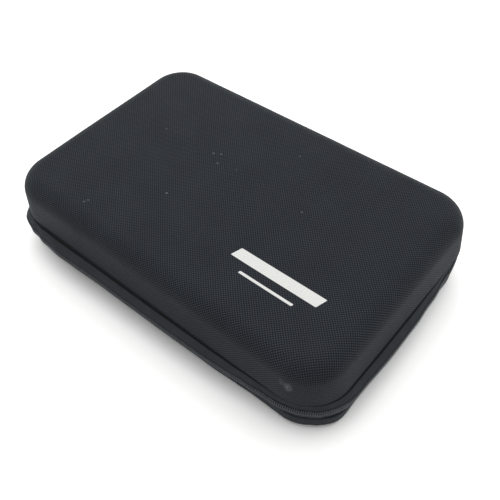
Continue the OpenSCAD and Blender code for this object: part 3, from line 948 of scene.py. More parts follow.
@dataclass(frozen=True)
class SoftRubber:
    """Moulded soft PVC: matt black with the fine pebble of a spark-eroded mould."""

    name: str
    colour: str = "#17181a"

    def material(self) -> bpy.types.Material:
        """Builds the pebble from a fine noise."""
        material, tree = blank(self.name)
        place = add(tree, "ShaderNodeTexCoord").outputs["Object"]
        pebble = add(tree, "ShaderNodeTexNoise", None, {"Vector": place, "Scale": 1 / (0.4 * MM), "Detail": 3.0})
        colour = add(tree, "ShaderNodeMix", {"data_type": "RGBA"}, {
            "Factor": pebble.outputs[0], 6: linear(self.colour, 0.8), 7: linear(self.colour, 1.3)}).outputs[2]
        surfaced(tree, colour, pebble.outputs[0], 0.08, {"Roughness": 0.55, "Specular IOR Level": 0.35})
        return material


# ---------------------------------------------------------------- the studio


def in_view(tree: bpy.types.NodeTree) -> bpy.types.NodeSocket:
    """Tells rays that show a thing, straight, mirrored or through glass, from light on the case.

    Args:
        tree: The tree that the nodes go into.

    Returns:
        A socket that is 1 for a ray that shows and 0 for light.
    """
    rays = add(tree, "ShaderNodeLightPath").outputs
    straight = add(tree, "ShaderNodeMath", {"operation": "MAXIMUM"},
                   {0: rays["Is Camera Ray"], 1: rays["Is Glossy Ray"]})
    return add(tree, "ShaderNodeMath", {"operation": "MAXIMUM"},
               {0: straight.outputs[0], 1: rays["Is Transmission Ray"]}).outputs[0]


@dataclass
class Studio:
    """A white table, a soft window of light behind and above, and the camera."""

    eye: tuple[float, float, float] = (270.1, -271.1, 445.9)
    azimuth: float = 43.388
    elevation: float = 49.483
    roll: float = -4.188
    lens: float = 47.72
    table: float = 12000.0
    shown: float = 1.32
    lift: float = 0.04

    def build(self) -> None:
        """Makes the camera, the table, the world and the lamps."""
        self.camera()
        self.floor()
        self.world()
        self.lamp("Window_behind", 116.0, 74.0, 72.0, 1.85)

    def camera(self) -> None:
        """Places the camera: it looks along the heading, and its right and up turn by the roll."""
        az, el, roll = np.radians([self.azimuth, self.elevation, self.roll])
        ahead = np.array([-np.sin(az) * np.cos(el), np.cos(az) * np.cos(el), -np.sin(el)])
        right = np.array([np.cos(az), np.sin(az), 0])
        up = np.cross(right, ahead)
        columns = [right * np.cos(roll) + up * np.sin(roll), up * np.cos(roll) - right * np.sin(roll),
                   -ahead, np.array(self.eye) * MM]
        data = bpy.data.cameras.new("Camera")
        data.lens, data.sensor_width, data.clip_start = self.lens, 36.0, 0.01
        camera = bpy.data.objects.new("Camera", data)
        bpy.context.scene.collection.objects.link(camera)
        matrix = np.eye(4)
        matrix[:3] = np.stack(columns, 1)
        camera.matrix_world = Matrix(matrix.tolist())
        bpy.context.scene.camera = camera

    def floor(self) -> None:
        """Makes the white table, which keeps the shadow and is lifted a little where it is in view."""
        h = self.table / 2
        corner = np.array([[[-h, -h, 0], [-h, h, 0]], [[h, -h, 0], [h, h, 0]]], float)
        table = mesh_of("Table", [Grid(corner)])
        material, tree = blank("White_table")
        seen = in_view(tree)
        colour = add(tree, "ShaderNodeMix", {"data_type": "RGBA"},
                     {"Factor": seen, 6: linear("#cdcdcb"), 7: linear("#fffffe", self.shown)})
        matt = add(tree, "ShaderNodeBsdfDiffuse", None, {"Color": colour.outputs[2]})
        part = add(tree, "ShaderNodeMath", {"operation": "MULTIPLY"}, {0: seen, 1: self.lift})
        white = add(tree, "ShaderNodeEmission", None, {"Color": (1, 1, 1, 1), "Strength": part.outputs[0]})
        both = add(tree, "ShaderNodeAddShader", None, {0: matt.outputs[0], 1: white.outputs[0]})
        add(tree, "ShaderNodeOutputMaterial", None, {0: both.outputs[0]})
        table.data.materials.append(material)

    def world(self) -> None:
        """Makes the world: white where it is seen or mirrored, and an even dim light elsewhere."""
        world = bpy.data.worlds.new("Studio")
        bpy.context.scene.world = world
        world.use_nodes = True
        tree = world.node_tree
        tree.nodes.clear()
        dim = add(tree, "ShaderNodeBackground", None, {0: (1, 1, 1, 1), 1: 0.45})
        white = add(tree, "ShaderNodeBackground", None, {0: (1, 1, 1, 1), 1: 1.0})
        mixed = add(tree, "ShaderNodeMixShader", None,
                    {0: in_view(tree), 1: dim.outputs[0], 2: white.outputs[0]})
        add(tree, "ShaderNodeOutputWorld", None, {0: mixed.outputs[0]})

    def lamp(self, name: str, azimuth: float, elevation: float, spread: float, strength: float) -> None:
        """Adds an even, distant and wide light, as a big window gives.

        Args:
            name: The lamp's name.
            azimuth: Heading from the case to the light, in degrees from +X towards +Y.
            elevation: Its height over the table in degrees.
            spread: Its width in degrees.
            strength: Watts per square metre; pi over the sine of the elevation lights white to 1.
        """
        data = bpy.data.lights.new(name, "SUN")
        data.angle, data.energy = float(np.radians(spread)), strength
        lamp = bpy.data.objects.new(name, data)
        a, e = np.radians([azimuth, elevation])
        back = np.array([np.cos(a) * np.cos(e), np.sin(a) * np.cos(e), np.sin(e)])
        right = unit(np.cross([0, 0, 1], back))
        matrix = np.eye(4)
        matrix[:3] = np.stack([right, np.cross(back, right), back, back], 1)
        lamp.matrix_world = Matrix(matrix.tolist())
        bpy.context.scene.collection.objects.link(lamp)


# ---------------------------------------------------------------- the shells


# How far the soft band has been pushed out by use, at distances along the coil from the back's left end.
BAND_PUSH = ((0, 0), (200, 0), (216, 2.6), (228, 6.0), (241, 6.5), (256, 3.6), (267, 1.8), (276, 2.9), (298, 4.4),
             (345, 3.3), (400, 3.0), (455, 2.1), (480, 0.8), (498, -0.9), (517, -2.4), (532, -2.0), (546, -0.6),
             (560, 1.0), (577, 1.6), (593, 1.2), (630, 2.1), (662, 1.5), (690, -0.3), (718, -3.2), (728, -3.0),
             (752, 0), (1100, 0))
# How much further the base's wall stands out there, past 0.85 of the band's outward push.
BASE_BULGE = ((0, 0), (554, 0), (588, 2.4), (616, 1.2), (655, 0), (1100, 0))
CHAIN_CORE, CHAIN_R = (121.0, 62.5), 48.0


def wall_push(way: Way) -> np.ndarray:
    """Returns how far the base's wall has gone at each station: 0.85 of the outward push plus the bulge."""
    band = np.maximum(way.eased(CHAIN_CORE, CHAIN_R, BAND_PUSH), 0)
    return 0.85 * band + way.eased(CHAIN_CORE, CHAIN_R, BASE_BULGE)


@dataclass
class Shell:
    """One moulded half: a flat face, a round edge, a leaning wall and a small lip at the crease."""

    half: Half
    crease_z: float
    height: float
    radius: float
    edge_r: float
    lip_r: float
    draft: float
    uneven: float = 0.2
    core: tuple[float, float] = (130.5, 72.0)
    rim_r: float = 29.5
    skin_t: float = 1.0
    lining_t: float = 0.6

    def wall_r(self, inset: float, z: float) -> float:
        """Plan radius of the wall inset by i at height z over the crease.

        With k = (radius - lip_r) cos(draft) + lip_r sin(draft) + lip_r, it is
        (k - i - z sin(draft)) / cos(draft).

        Args:
            inset: i.
            z: The height.

        Returns:
            The plan radius.
        """
        lean = np.radians(self.draft)
        k = (self.radius - self.lip_r) * np.cos(lean) + self.lip_r * np.sin(lean) + self.lip_r
        return float((k - inset - z * np.sin(lean)) / np.cos(lean))

    def section(self, inset: float, lip_steps: int = 8, edge_steps: int = 14) -> np.ndarray:
        """The wall's section from the crease to the flat face, as plan radius and height over the crease.

        The lip and the edge are circles, and the wall between them is their common tangent. Where the
        inset eats the lip, the section starts at the wall's foot.

        Args:
            inset: How far the section lies inside the outer face.
            lip_steps: Steps of the lip's arc.
            edge_steps: Steps of the edge's arc.

        Returns:
            Points, (m, 2).
        """
        edge_z = self.height - self.edge_r
        edge = arc(self.wall_r(self.edge_r, edge_z), edge_z, self.edge_r - inset, self.draft, 90, edge_steps)
        if inset < self.lip_r:
            foot = arc(self.radius - self.lip_r, self.lip_r, self.lip_r - inset, -90, self.draft, lip_steps)
        else:
            foot = np.array([[self.wall_r(inset, inset), inset]])
        return np.concatenate([foot, edge])

    def dish(self, section: np.ndarray, uneven: float, push: float = 0.0, rings: int = 26) -> Grid:
        """Carries a section round and closes it with rings that shrink to the middle of the flat face.

        The cloth map spreads the surface from the middle: a point's place is its station's middle plus
        its distance along the section times the normal.

        Args:
            section: Plan radius and height over the crease, from the crease inwards, (m, 2).
            uneven: Height of the mould's soft unevenness, which fades to none at the lip.
            push: Share of the wall's push that the section takes, past its first 3 mm.
            rings: Rings inside the section's last point.

        Returns:
            The surface, which faces away from the middle of the case.
        """
        way = way_round(self.core, 4.0, 20)
        run = run_of(section)
        push = push if self.half is Half.BASE else 0.0
        pushed = push * wall_push(way)[:, None] * np.clip(run / 3, 0, 1)[None]
        walls = way.carry(self.core, section[:, 0] + pushed, section[:, 1])
        share = np.linspace(1, 0, rings + 1)[1:]
        flat = walls[:, -1:, :2] * share[None, :, None]
        points = np.concatenate([walls, np.concatenate([flat, np.full(flat.shape[:2] + (1,), section[-1, 1])], -1)], 1)
        spread = section[-1, 0] + run[-1] - run
        cloth = way.middle(self.core)[:, None] + way.out()[:, None] * spread[None, :, None]
        cloth = np.concatenate([cloth, flat], 1)
        full = np.clip((points[..., 2] - self.lip_r) / self.height * 2, 0, 1)
        dent = uneven * full * (waviness(cloth[..., 0], cloth[..., 1], (70, 95, 130, 180), 3) - 0.6)
        level = np.clip((points[..., 2] - (self.height - self.edge_r)) / self.edge_r, 0, 1) ** 2
        points[..., 2] += dent * level
        points[..., :2] += way.out()[:, None] * (dent * (1 - level))[..., None]
        points[..., 2] = self.crease_z + self.half.value * points[..., 2]
        return Grid(points, np.concatenate([cloth, cloth[:1]]), rows_close=True, flip=self.half is Half.BASE)

    def skin(self, finish: bpy.types.Material) -> bpy.types.Object:
        """Makes the woven skin, which turns in under the lip to the rim.

        Args:
            finish: The cloth's finish.

        Returns:
            The piece.
        """
        section = spaced(np.concatenate([[[self.rim_r, 0.0]], self.section(0)]), 2.5)
        piece = mesh_of(f"{self.half.body}_woven_skin", [self.dish(section, self.uneven, 1.0)])
        thickened(piece, self.skin_t * 0.9)
        return finished(piece, finish, self.half.body, "woven_skin", f"{self.half.body}_skin")

    def lining(self, finish: bpy.types.Material, section: np.ndarray, flat: tuple[float, float],
               area: float) -> bpy.types.Object:
        """Makes the lining, bonded to the inside of the shell, from its own section.

        Args:
            finish: The lining's finish.
            section: Plan radius and height over the crease, from the rim inwards.
            flat: The size that it was cut to, in metres; not used.
            area: The area of the cut in square metres; not used.

        Returns:
            The piece.
        """
        grid = self.dish(spaced(section, 3.0), 0.0)
        grid.flip = not grid.flip
        piece = thickened(mesh_of(f"{self.half.body}_tricot_lining", [grid]), self.lining_t)
        finished(piece, finish, self.half.body, "lining", f"{self.half.body}_lining")
        return piece


# ---------------------------------------------------------------- the zip


def stitch_shape(half: float, thick: float) -> Grid:
    """One stitch of thread: a low arch along x whose ends dip into the cloth.

    Args:
        half: Half of its length.
        thick: The thread's radius.

    Returns:
        Its surface, with y away from the cloth.
    """
    line = np.array([[-half, -0.4 * thick, 0], [-0.7 * half, 0.4 * thick, 0], [0, 0.7 * thick, 0],
                     [0.7 * half, 0.4 * thick, 0], [half, -0.4 * thick, 0]])
    return tube(line, thick * np.array([0.5, 0.9, 1, 0.9, 0.5]), np.array([0, 0, 1.0]), 6)


@dataclass
class ZipHalf:
    """One half of the zip: a tape sewn into the crease, the coil at its edge, and its sewing."""

    half: Half
    crease_r: float
    crease_z: float
    part_z: float = 27.5
    shell_core: tuple[float, float] = (130.5, 72.0)
    chain_core: tuple[float, float] = CHAIN_CORE
    chain_r: float = CHAIN_R
    coil_gap: float = 0.35
    coil_top: float = 2.7
    coil_t: float = 1.5
    tape_t: float = 1.1
    tape_end: float = 100.3
    coil_end: float = 112.6
    pitch: float = 1.65
    cord_r: float = 0.5
    cord_in: float = 1.2
    cord_z: float = 1.5
    tab_gap: float = 0.3
    stitch_pitch: float = 2.9
    rows: tuple[float, float] = (0.16, 0.42)

    def tape_at(self, way: Way, s: np.ndarray, proud: float = 0.0) -> np.ndarray:
        """Points of the tape's outer face.

        From s = 0 at the crease to s = 1 the tape swings out: a point is (1 - w) of the crease's path
        plus w of the path behind the coil, and has gone d of the way to the coil. In the lid
        w = (s + sin(90 s)) / 2 and d = (s + 1 - cos(90 s)) / 2, and in the base, where the tape bulges,
        w = sin(90 s)^0.75 and d = 1 - cos(90 s)^0.75. From s = 1 to s = 2 it stands upright behind the
        coil. Both paths lie further out where the band has been pushed.

        Args:
            way: The stations.
            s: Parameters, (m,).
            proud: How far the points lie outside the face.

        Returns:
            Points, (n, m, 3).
        """
        turn = np.clip(s, 0, 1)
        sine, cosine = np.sin(turn * np.pi / 2), np.cos(turn * np.pi / 2)
        w, d = (turn + sine) / 2, (turn + 1 - cosine) / 2
        if self.half is Half.BASE:
            w, d = sine ** 0.75, 1 - np.maximum(cosine, 0) ** 0.75
        top = self.part_z + self.half.value * (self.coil_top + 0.1)
        z = self.crease_z + (top - self.crease_z) * d
        z = z + (self.part_z + self.half.value * self.coil_gap - top) * np.clip(s - 1, 0, 1)
        push = way.eased(self.chain_core, self.chain_r, BAND_PUSH)[:, None]
        near_r = self.crease_r + proud + (wall_push(way)[:, None] if self.half is Half.BASE else 0 * push)
        near = way.carry(self.shell_core, near_r + 0 * s, z)
        far = way.carry(self.chain_core, self.chain_r - self.coil_t + proud + push + 0 * s, z)
        return near * (1 - w[None, :, None]) + far * w[None, :, None]

    def build(self, tape: bpy.types.Material, coil: bpy.types.Material, thread: bpy.types.Material,
              fold: bpy.types.Material, cord: bpy.types.Material) -> None:
        """Makes the tape, the coil with its cord, the sewing and the tabs at the coil's ends."""
        body = self.half.body
        closed = way_round(self.shell_core, 3.0, 24)
        way = closed.with_leads(self.shell_core[0], self.tape_end, 3.0)
        s = np.concatenate([np.linspace(0, 1, 17), np.linspace(1, 2, 5)[1:]])
        points = self.tape_at(way, s)
        run = way.length(self.chain_core, self.chain_r)
        fall = run_of(points[len(points) // 2])
        cloth = np.stack(np.meshgrid(run[: len(points)], fall, indexing="ij"), -1)
        piece = mesh_of(f"{body}_woven_tape", [Grid(points, cloth, flip=self.half is Half.LID)])
        finished(thickened(piece, self.tape_t), tape, body, "zip_tape", f"{body}_zip_tape")
        self.coil(coil, cord)
        self.sewing(way, thread)
        self.end_tabs(fold)

    def line(self, end: float, radius: float, z: float) -> np.ndarray:
        """A level line along the coil's path from one end to the other, (n, 3).

        Args:
            end: Where it ends along the back.
            radius: Its corner radius.
            z: Its height.

        Returns:
            The points.
        """
        way = way_round(self.chain_core, 2.0, 40).with_leads(self.chain_core[0], end, 2.0)
        push = way.eased(self.chain_core, self.chain_r, BAND_PUSH)[:, None]
        return way.carry(self.chain_core, radius + push, np.array([z]))[:, 0]

    def coil(self, finish: bpy.types.Material, cord_finish: bpy.types.Material) -> None:
        """Makes the coil as bent loops side by side that lean a little, round a filler cord.

        Args:
            finish: The loops' finish.
            cord_finish: The cord's finish.
        """
        places, _ = even(self.line(self.coil_end, self.chain_r, self.part_z), self.pitch)
        along = unit(np.gradient(places, axis=0))
        out = np.cross(along, [0, 0, 1.0])
        low, high, up = self.coil_gap, self.coil_top, self.half.value
        line = np.array([
            [0.30, -1.4, high - 0.5], [0.28, -0.9, high - 0.42], [0.22, -0.5, high - 0.65],
            [0.05, -0.38, high - 1.05], [-0.1, -0.38, low + 1.05], [-0.2, -0.5, low + 0.65],
            [-0.24, -0.9, low + 0.45], [-0.26, -1.4, low + 0.5],
        ])
        line[:, 2] *= -up
        radius = np.array([0.4, 0.42, 0.42, 0.4, 0.44, 0.5, 0.45, 0.4])
        shape = tube(line, radius, np.array([1.0, 0, 0]), 6)
        shape.flip = up > 0
        piece = repeated(f"{self.half.body}_zip_coil_loops", shape, places, along, out)
        finished(piece, finish, self.half.body, "zip_coil", f"{self.half.body}_zip_coil")
        filler = self.line(self.coil_end - 0.4, self.chain_r - self.cord_in, self.part_z + up * self.cord_z)
        cord = tube(filler, np.full(len(filler), self.cord_r), np.array([0, 0, 1.0]), 8)
        finished(mesh_of(f"{self.half.body}_zip_filler_cord", [cord]), cord_finish, self.half.body, "zip_coil")

    def sewing(self, way: Way, finish: bpy.types.Material) -> None:
        """Makes the rows of stitches that sew the tape to the shell and the coil to the tape.

        Args:
            way: The tape's stations.
            finish: The thread's finish.
        """
        body = self.half.body
        stitch = stitch_shape(1.15, 0.27)
        for number, s in enumerate(self.rows):
            near = self.tape_at(way, np.array([s, s + 0.02]))
            places, at = even(near[:, 0], self.stitch_pitch)
            run = run_of(near[:, 0])
            next_to = np.stack([np.interp(at, run, near[:, 1, k]) for k in range(3)], -1)
            along = unit(np.gradient(places, axis=0))
            out = unit(np.cross(next_to - places, along)) * self.half.value
            piece = repeated(f"{body}_tape_stitches_{number + 1}", stitch, places, along, out)
            finished(piece, finish, body, "zip_tape")

    def end_tabs(self, finish: bpy.types.Material) -> None:
        """Makes the scrap of tape folded over each end of the coil, as a flat pillow.

        Args:
            finish: The cloth's finish.
        """
        size = [(self.coil_end - self.tape_end - self.tab_gap) / 2, self.coil_t / 2,
                (self.coil_top - self.coil_gap) / 2]
        y = self.chain_core[1] + self.chain_r - size[1]
        z = self.part_z + self.half.value * (self.coil_gap + size[2])
        tabs = []
        for side in (-1, 1):
            tab = rounded_box((side * (self.tape_end + size[0]), y, z), size, 0.3)
            cloth = tab.points[..., [0, 2]] + tab.points[..., [1, 1]] * [0, 1]
            tab.uv = np.concatenate([cloth, cloth[:1]])
            tabs.append(tab)
        body = self.half.body
        piece = finished(mesh_of(f"{body}_zip_end_tabs", tabs), finish, body, "binding",
                         f"zip_end_tabs_{'lower' if self.half is Half.BASE else 'upper'}")


# ---------------------------------------------------------------- the hinge


@dataclass
class FabricHinge:
    """One strip of ribbed webbing along the back, sewn into both creases."""

    half_len: float = 99.9
    lid_crease: tuple[float, float] = (104.3, 37.5)
    base_crease: tuple[float, float] = (102.5, 18.0)
    face_y: float = 110.5
    part_z: float = 27.5
    upright: float = 3.5
    thickness: float = 1.4

    def face(self) -> np.ndarray:
        """The strip's outer face as y and z, from the base's crease to the lid's.

        It swings out of each crease as the zip's tape does: y moves by (s + sin(90 s)) / 2 of its way
        and z by (s + 1 - cos(90 s)) / 2, and it is upright between the two swings.
        """
        s = np.linspace(0, 1, 13)
        w, d = (s + np.sin(s * np.pi / 2)) / 2, (s + 1 - np.cos(s * np.pi / 2)) / 2
        parts = []
        for (y, z), side in ((self.base_crease, -1), (self.lid_crease, 1)):
            end = self.part_z + side * self.upright
            parts.append(np.stack([y + (self.face_y - y) * w, z + (end - z) * d], -1))
        middle = np.linspace(parts[0][-1], parts[1][-1], 9)[1:-1]
        return np.concatenate([parts[0], middle, parts[1][::-1]])

    def build(self, webbing: bpy.types.Material, thread: bpy.types.Material) -> None:
        """Makes the strip and the stitches along both of its edges."""
        face = self.face()
        x = np.linspace(-self.half_len, self.half_len, 67)
        points = np.stack([np.broadcast_to(v, (len(x), len(face))) for v in (x[:, None], face[:, 0], face[:, 1])], -1)
        cloth = np.stack(np.meshgrid(x, run_of(face), indexing="ij"), -1)
        strip = mesh_of("hinge_webbing", [Grid(points, cloth)])
        strip.data.materials.append(webbing)
        thickened(strip, self.thickness)
        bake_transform(strip)
        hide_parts("hinge_strip_lower", "hinge_strip_upper")
        LOG.info("%s: %d faces, between base and lid", strip.name, len(strip.data.polygons))
        stitch = stitch_shape(1.15, 0.26)
        for body, at in (("base", 3), ("lid", len(face) - 4)):
            line = np.stack([x, np.full_like(x, face[at, 0]), np.full_like(x, face[at, 1])], -1)
            places, _ = even(line, 2.9)
            along = np.tile([1.0, 0, 0], (len(places), 1))
            heading = unit(face[at + 1] - face[at - 1])
            out = np.tile([0, heading[1], -heading[0]], (len(places), 1))
            finished(repeated(f"hinge_stitches_{body}", stitch, places, along, out), thread, body, "hinge_webbing")


# ---------------------------------------------------------------- the rims and what lies inside


@dataclass
class Binding:
    """Grosgrain tape folded over the rim's edge and stitched down inside it."""

    half: Half
    edge_z: float
    outer_r: float = 29.3
    inner_r: float = 23.4
    fold_t: float = 0.9
    depth: float = 7.9
    core: tuple[float, float] = (130.5, 72.0)

    def section(self) -> np.ndarray:
        """The folded tape's closed section as plan radius and depth under the edge.

        It is an L of one thickness whose outer corner turns through a circle of radius 1.2 and whose
        free ends are rounded by half of the thickness.
        """
        t, r = self.fold_t, 1.2
        corner = arc(self.inner_r + r, r, r, 180, 270, 6)
        tip = arc(self.outer_r - t / 2, t / 2, t / 2, -90, 90, 6)
        hem = arc(self.inner_r + t / 2, self.depth - t / 2, t / 2, 0, 180, 6)
        inside = np.array([[self.inner_r + t, t]])
        return np.concatenate([corner, tip, inside, hem])

    def build(self, cloth: bpy.types.Material, thread: bpy.types.Material) -> None:
        """Makes the folded tape and the row of stitches on its inner flap."""
        body = self.half.body
        way = way_round(self.core, 3.0, 20)
        section = self.section()
        points = way.carry(self.core, section[:, 0], self.edge_z + self.half.value * section[:, 1])
        fall = run_of(np.concatenate([section, section[:1]]))
        along = way.length(self.core, self.inner_r)
        uv = np.stack(np.meshgrid(along, fall, indexing="ij"), -1)
        piece = mesh_of(f"{body}_grosgrain_binding",
                        [Grid(points, uv, rows_close=True, columns_close=True, flip=self.half is Half.LID)])
        finished(piece, cloth, body, "binding", f"{body}_binding")
        line = way.carry(self.core, np.array([self.inner_r]), np.array([self.edge_z + self.half.value * 6.2]))[:, 0]
        places, _ = even(np.concatenate([line, line[:1]]), 3.1)
        ahead = unit(np.roll(places, -1, 0) - np.roll(places, 1, 0))
        out = np.cross([0, 0, 1.0], ahead)
        piece = repeated(f"{body}_binding_stitches", stitch_shape(1.2, 0.24), places, ahead, out)
        finished(piece, thread, body, "binding")


@dataclass
class FoamFitting:
    """The foam in the base, cut with a well for an instrument and one for leads, over a floor pad."""

    core: tuple[float, float] = (130.5, 72.0)
    insert_r: float = 23.0
    pad_r: float = 21.2
    floor_z: float = 6.3
    insert_z: float = 10.2
    top_z: float = 26.7
    left: float = -137.6
    length: float = 215.2
    width: float = 150.2
    lead_left: float = 93.6
    lead_len: float = 44.0
    well_r: float = 8.0
    scoop_r: float = 13.0
    soft_r: float = 1.4

    def well(self, left: float, length: float, scoop_x: Optional[float]) -> np.ndarray:
        """A well's outline, clockwise: a rounded rectangle, with a round finger scoop in each long side.

        A scoop is a half circle about a point on the side. The outline is laid at even steps of half a
        millimetre and each point is averaged with its neighbours, which rounds the scoops' corners.

        Args:
            left: The well's lowest x.
            length: Its length.
            scoop_x: Where the scoops' centres lie, or None.

        Returns:
            Points, (n, 2).
        """
        h, r = self.width / 2, self.well_r
        right = left + length
        corner = [arc(right - r, h - r, r, 90, 0, 10), arc(right - r, r - h, r, 0, -90, 10),
                  arc(left + r, r - h, r, -90, -180, 10), arc(left + r, h - r, r, 180, 90, 10)]
        if scoop_x is not None:
            low = arc(scoop_x, -h, self.scoop_r, 0, -180, 24)
            high = arc(scoop_x, h, self.scoop_r, 180, 0, 24)
            corner = [corner[0], corner[1], low, corner[2], corner[3], high]
        line = np.concatenate(corner)
        line = np.concatenate([line, line[:1]])
        run = run_of(line)
        count = int(run[-1] / 1.2)
        at = np.arange(count) * run[-1] / count
        path = np.stack([np.interp(at, run, line[:, k]) for k in (0, 1)], -1)
        for _ in range(2):
            path = (np.roll(path, 1, 0) + 2 * path + np.roll(path, -1, 0)) / 4
        return path

    def build(self, foam: bpy.types.Material, pad: bpy.types.Material) -> None:
        """Makes the floor pad and the cut block."""
        way = way_round(self.core, 5.0, 12)
        base, out = way.middle(self.core), way.out()
        t = self.insert_z - self.floor_z
        rim = np.concatenate([arc(self.pad_r - 1, 1, 1, -90, 0, 3), arc(self.pad_r - 1, t - 1, 1, 0, 90, 3)])
        rim[:, 1] += self.floor_z
        piece = mesh_of("floor_pad", [slab_grid(base, out, rim, 14)])
        finished(piece, pad, "base", "insert_foam", "foam_floor_pad")
        self.block(way, foam)

    def block(self, way: Way, foam: bpy.types.Material) -> None:
        """Makes the cut block: walls carried round each outline, and flat faces filled between them.

        A wall's section is upright and turns in through a quarter circle at the top, so that the cut
        edge looks soft.
        """
        r = self.soft_r
        z = np.concatenate([[self.insert_z], np.linspace(self.insert_z + 2, self.top_z - r, 6),
                            self.top_z - r + r * np.sin(np.radians([22.5, 45, 67.5, 90]))])
        away = np.concatenate([np.zeros(7), r * (1 - np.cos(np.radians([22.5, 45, 67.5, 90])))])
        outlines = [way.middle(self.core) + way.out() * self.insert_r,
                    self.well(self.left, self.length, self.left + self.length / 2),
                    self.well(self.lead_left, self.lead_len, None)]
        work = bmesh.new()
        layer = work.loops.layers.uv.new("Cloth")
        rims: list[list[bmesh.types.BMVert]] = [[], []]
        for outline in outlines:
            ahead = unit(np.roll(outline, -1, 0) - np.roll(outline, 1, 0))
            inward = np.stack([-ahead[:, 1], ahead[:, 0]], -1)
            ring = outline[:, None] + inward[:, None] * away[None, :, None]
            points = np.concatenate([ring, np.broadcast_to(z[None, :, None], ring.shape[:2] + (1,))], -1) * MM
            verts = [[work.verts.new(p) for p in row] for row in points]
            run = run_of(np.concatenate([outline, outline[:1]]))
            for i in range(len(verts)):
                j = (i + 1) % len(verts)
                for k in range(len(z) - 1):
                    face = work.faces.new((verts[i][k], verts[j][k], verts[j][k + 1], verts[i][k + 1]))
                    for loop, (u, v) in zip(face.loops, ((i, k), (i + 1, k), (i + 1, k + 1), (i, k + 1))):
                        loop[layer].uv = (run[u] * MM, z[v] * MM)
            for side, k in ((0, 0), (1, -1)):
                rims[side] += [(verts[i][k], verts[(i + 1) % len(verts)][k]) for i in range(len(verts))]
        for side in (0, 1):
            edges = [work.edges.get(pair) for pair in rims[side]]
            filled = bmesh.ops.triangle_fill(work, use_beauty=True, use_dissolve=False, edges=edges,
                                             normal=(0, 0, 1 if side else -1))
            for face in filled["geom"]:
                if isinstance(face, bmesh.types.BMFace):
                    for loop in face.loops:
                        loop[layer].uv = loop.vert.co[:2]
        mesh = bpy.data.meshes.new("cut_foam_insert")
        work.to_mesh(mesh)
        work.free()
        normals = np.zeros(len(mesh.polygons) * 3)
        mesh.polygons.foreach_get("normal", normals)
        mesh.polygons.foreach_set("use_smooth", np.abs(normals.reshape(-1, 3)[:, 2]) < 0.99)
        piece = bpy.data.objects.new("cut_foam_insert", mesh)
        bpy.context.scene.collection.objects.link(piece)
        finished(piece, foam, "base", "insert_foam", "foam_insert")


